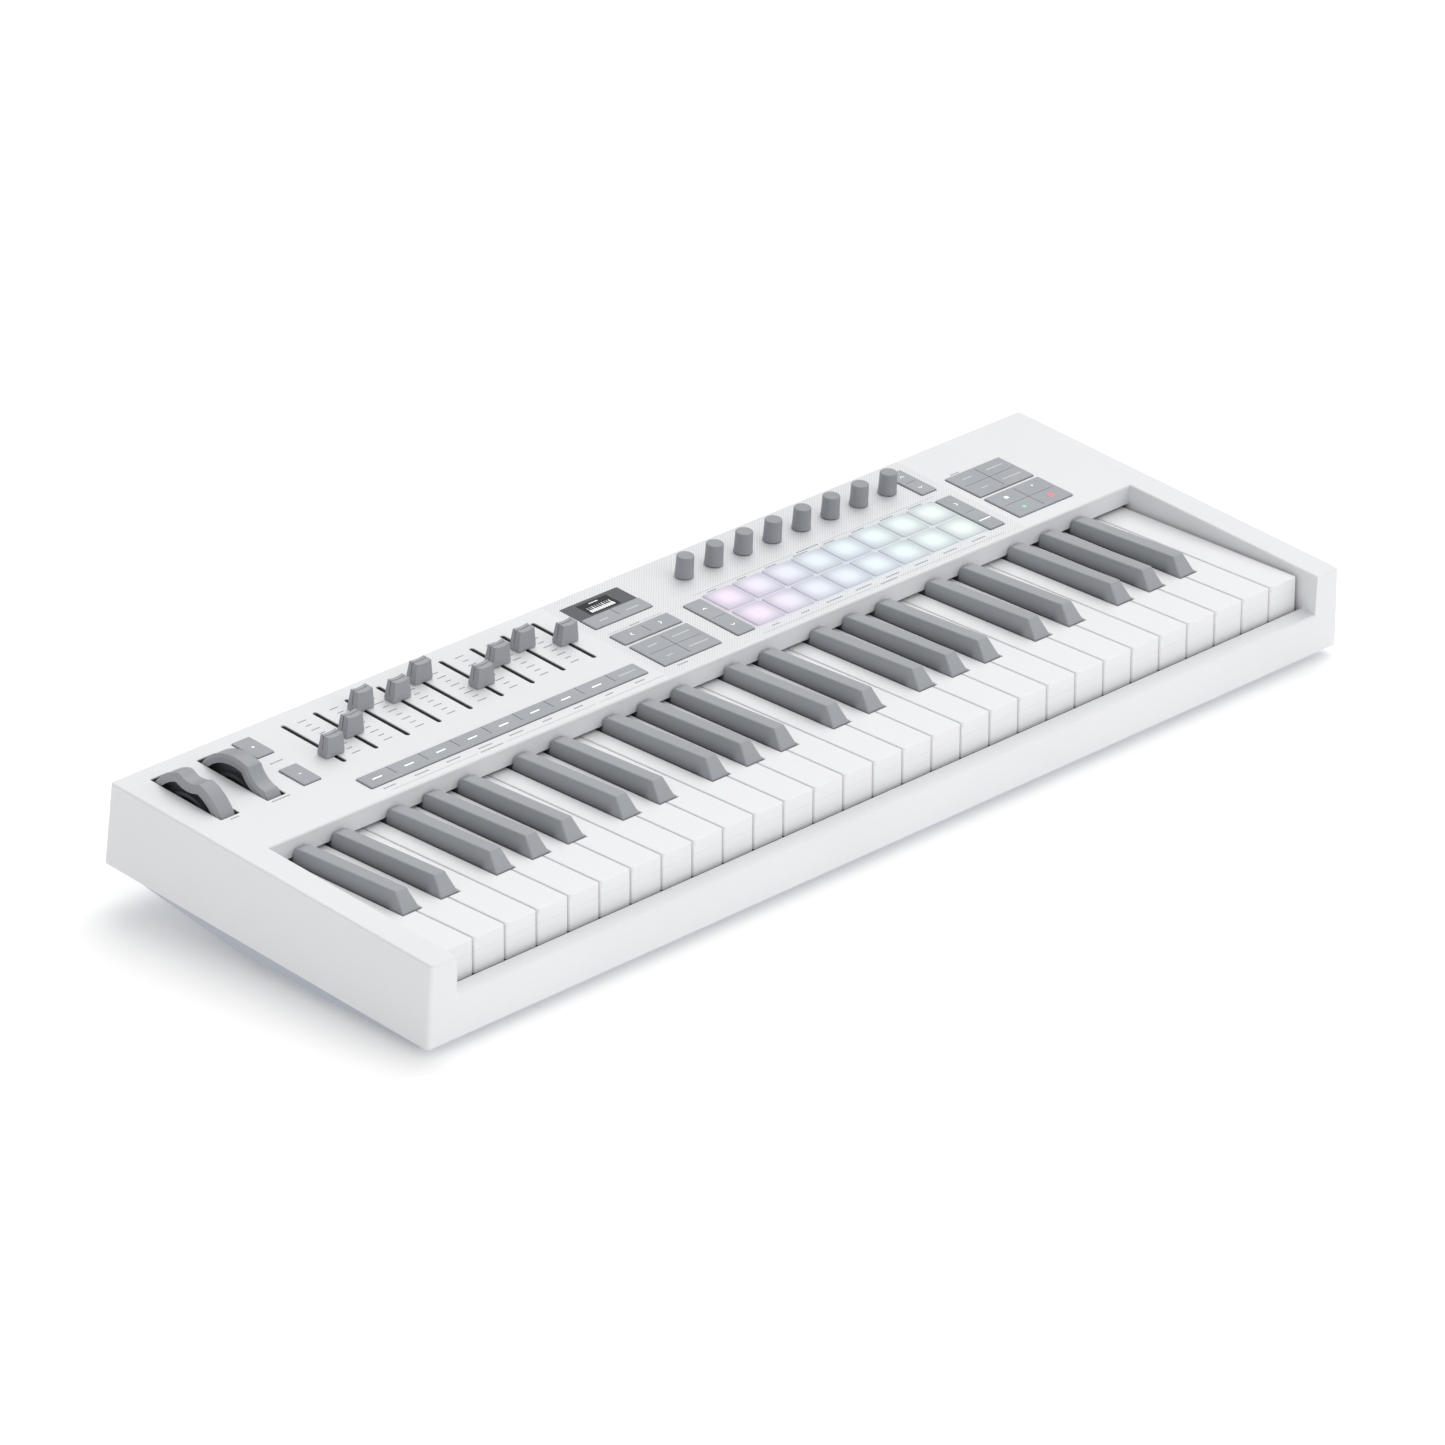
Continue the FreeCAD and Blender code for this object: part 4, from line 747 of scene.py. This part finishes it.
def deck_labels():
    """Small dashes where the printed words of the deck sit."""
    shape = bmesh.new()
    for x, y, length in wheel_words() + fader_words() + pad_words() + button_words():
        label(shape, x, y, 0.0, length * MM, DECK_WORD)
    finish_piece("deck_label_dashes", shape, ink_pale, "case")


# ---------------------------------------------------------------- marks on the buttons
class Top:
    """The flat top of a button block, inside its rim."""

    def __init__(self, node):
        rim = 1.2 * MM
        low, high = deck_box(node)
        self.left, self.right = low.x + rim, high.x - rim
        self.front, self.rear = low.y + rim, high.y - rim
        self.level = high.z

    def at(self, side, depth):
        """The point at these shares of its width and depth."""
        return self.left + (self.right - self.left) * side, self.front + (self.rear - self.front) * depth


def marks_on(node, draw, material=ink_white, name=None):
    shape = bmesh.new()
    draw(shape, Top(node))
    finish_piece(name or node + "_marks", shape, material, node)


def plus_mark(shape, top):
    """A bar across, and a short one on either side of it."""
    x, y = top.at(0.5, 0.5)
    half, stroke = 1.0 * MM, 0.22 * MM
    clear = stroke + 0.01 * MM
    slab(shape, x, y, half, stroke, top.level)
    bar(shape, x - stroke, x + stroke, y + clear, y + half, top.level)
    bar(shape, x - stroke, x + stroke, y - half, y - clear, top.level)


def minus_mark(shape, top):
    slab(shape, *top.at(0.5, 0.5), 1.0 * MM, 0.22 * MM, top.level)


def left_right_marks(shape, top):
    chevron(shape, *top.at(0.25, 0.5), top.level, TO_LEFT)
    chevron(shape, *top.at(0.75, 0.5), top.level, TO_RIGHT)


def up_down_marks(shape, top):
    chevron(shape, *top.at(0.5, 0.76), top.level, TO_REAR)
    chevron(shape, *top.at(0.5, 0.24), top.level, TO_FRONT)


def scene_marks(shape, top):
    chevron(shape, *top.at(0.5, 0.76), top.level, TO_RIGHT)
    label(shape, *top.at(0.5, 0.24), top.level, 9.0 * MM, 1.0 * MM)


def two_words(shape, top):
    for side, length in ((0.25, 6.5), (0.75, 10.0)):
        x, y = top.at(side, 0.5)
        label(shape, x, y - 0.2 * MM, top.level, length * MM, BUTTON_WORD)


def four_words(shape, top):
    lengths = {(0.25, 0.75): 7.5, (0.75, 0.75): 13.5, (0.25, 0.25): 5.0, (0.75, 0.25): 15.0}
    for (side, depth), length in lengths.items():
        label(shape, *top.at(side, depth), top.level, length * MM, BUTTON_WORD)


def stop_mark(shape, top):
    slab(shape, *top.at(0.25, 0.75), 1.3 * MM, 1.3 * MM, top.level, 0.15 * MM)


def loop_mark(shape, top):
    """A rounded loop with an arrow head on its top run."""
    x, y = top.at(0.75, 0.75)
    half_width, half_depth, rounding, stroke = 2.1 * MM, 1.5 * MM, 0.5 * MM, 0.42 * MM
    made = bmesh.ops.create_grid(shape, x_segments=1, y_segments=1, size=1.0)["verts"]
    bmesh.ops.scale(shape, vec=(half_width, half_depth, 1.0), verts=made)
    bmesh.ops.translate(shape, vec=(x, y, top.level - PRINT), verts=made)
    outline = bmesh.ops.bevel(
        shape, geom=made, offset=rounding, affect="VERTICES", segments=4, profile=0.5, material=-1
    )
    face = list({f for vertex in outline["verts"] for f in vertex.link_faces})
    bmesh.ops.inset_region(shape, faces=face, thickness=stroke, use_even_offset=True)
    bmesh.ops.delete(shape, geom=face, context="FACES_ONLY")
    raised(shape, list(shape.faces))
    top_run = y + half_depth - stroke / 2.0 + 0.01 * MM
    disc(shape, x + 0.2 * MM, top_run, top.level, 0.95 * MM, 3, TO_RIGHT)


def play_mark(shape, top):
    disc(shape, *top.at(0.25, 0.25), top.level, ROUND_SIGN, 3, TO_RIGHT)


def record_mark(shape, top):
    disc(shape, *top.at(0.75, 0.25), top.level, ROUND_SIGN, 28, TO_REAR)


def strip_windows():
    """Lit windows along the fader strip, one to a fader, and a word on its last button."""
    lamps = bmesh.new()
    words = bmesh.new()
    top = Top("fader_button_strip")
    y = (top.front + top.rear) / 2.0
    for number in range(1, 9):
        slab(lamps, fader_middle(number), y, 3.5 * MM, 0.45 * MM, top.level, 0.4 * MM)
    label(words, fader_middle(9), y, top.level, 12.5 * MM, BUTTON_WORD)
    finish_piece("fader_strip_lamp_windows", lamps, lamp_white, "fader_button_strip")
    finish_piece("fader_strip_word", words, ink_soft, "fader_button_strip")


# ---------------------------------------------------------------- display picture
def display_picture():
    """The lit picture in the window: a heading and a small row of piano keys."""
    low, high = deck_box("display_window")
    left, right = low.x + 12.0 * MM, high.x - 12.5 * MM
    front, rear = low.y + 2.1 * MM, high.y - 4.0 * MM
    panel = bmesh.new()
    bar(panel, left, right, front, rear, 0.0, 0.2 * MM)
    finish_piece("display_active_area", panel, screen_black, "case")
    picture = bmesh.new()
    level = 1.5 * PRINT
    keys = 10
    pitch = (right - left - 5.0 * MM) / keys
    key_front, key_split, key_rear = front + 1.6 * MM, front + 4.3 * MM, front + 7.4 * MM
    for key in range(keys):
        x = left + 2.5 * MM + pitch * key
        bar(picture, x + 0.2 * MM, x + pitch - 0.2 * MM, key_front, key_split, level)
        stem = 0.34 * MM if key % 7 in (2, 6) else 0.17 * MM
        middle_x = x + pitch / 2.0
        bar(picture, middle_x - stem, middle_x + stem, key_split + 0.01 * MM, key_rear, level)
    label(picture, (left + right) / 2.0, rear - 2.0 * MM, level, 7.0 * MM, BUTTON_WORD)
    finish_piece("display_picture", picture, screen_white, "case")


fader_scale()
deck_rules()
deck_labels()
strip_windows()
display_picture()
marks_on("octave_up_button", plus_mark)
marks_on("octave_down_button", minus_mark)
marks_on("track_buttons", left_right_marks)
marks_on("pad_bank_buttons", up_down_marks)
marks_on("encoder_bank_buttons", up_down_marks)
marks_on("scene_buttons", scene_marks)
marks_on("display_buttons", two_words, ink_soft)
marks_on("scale_and_chord_buttons", four_words, ink_soft)
marks_on("capture_buttons", four_words, ink_soft)
marks_on("transport_buttons", stop_mark, ink_white, "transport_stop_mark")
marks_on("transport_buttons", loop_mark, ink_white, "transport_loop_mark")
marks_on("transport_buttons", play_mark, lamp_green, "transport_play_mark")
marks_on("transport_buttons", record_mark, lamp_red, "transport_record_mark")


# ---------------------------------------------------------------- floor, light and camera
def floor_finish():
    finish = Finish("floor_pale")
    patch = finish.noise(0.8, 2.0)
    finish.set(Base_Color=finish.mix(patch, (0.93, 0.93, 0.93), (0.94, 0.94, 0.94)), Roughness=0.9)
    finish.set(Specular_IOR_Level=0.1, Emission_Color=(1.0, 1.0, 1.0, 1.0), Emission_Strength=0.17)
    return finish


def pale_floor():
    shape = bmesh.new()
    bmesh.ops.create_grid(shape, x_segments=4, y_segments=4, size=14.0)
    mesh = bpy.data.meshes.new("studio_floor")
    shape.to_mesh(mesh)
    shape.free()
    floor = bpy.data.objects.new("studio_floor", mesh)
    bpy.context.scene.collection.objects.link(floor)
    mesh.materials.append(floor_finish().material)


def soft_light(name, towards_light, strength, spread):
    light = bpy.data.lights.new(name, "SUN")
    light.energy = strength
    light.angle = math.radians(spread)
    holder = bpy.data.objects.new(name, light)
    bpy.context.scene.collection.objects.link(holder)
    holder.location = Vector(towards_light) * 3.0
    holder.rotation_euler = (-Vector(towards_light)).to_track_quat("-Z", "Y").to_euler()


def studio_light():
    world = bpy.data.worlds.new("studio_room")
    bpy.context.scene.world = world
    world.use_nodes = True
    room = world.node_tree.nodes["Background"]
    room.inputs["Color"].default_value = (1.0, 1.0, 1.0, 1.0)
    room.inputs["Strength"].default_value = 0.54
    soft_light("key_light", (0.50, 0.30, 0.81), 1.35, 50.0)
    soft_light("front_light", (0.35, -0.80, 0.48), 0.80, 70.0)
    soft_light("left_light", (-0.93, -0.30, 0.20), 0.30, 50.0)
    bpy.context.scene.view_settings.view_transform = "Standard"


def studio_camera():
    lens = bpy.data.cameras.new("studio_camera")
    lens.sensor_width = 36.0
    lens.lens = 215.608
    lens.clip_start = 0.05
    lens.clip_end = 100.0
    camera = bpy.data.objects.new("studio_camera", lens)
    bpy.context.scene.collection.objects.link(camera)
    right = Vector((0.70817049, -0.70603502, 0.00301797))
    up = Vector((0.30320525, 0.30797703, 0.9017853))
    away = Vector((-0.63762147, -0.63770267, 0.43217377))
    place = Matrix((right, up, away)).transposed().to_4x4()
    place.translation = Vector((-3.1340063, -3.1199413, 2.1520195))
    camera.matrix_world = place
    bpy.context.scene.camera = camera


pale_floor()
studio_light()
studio_camera()
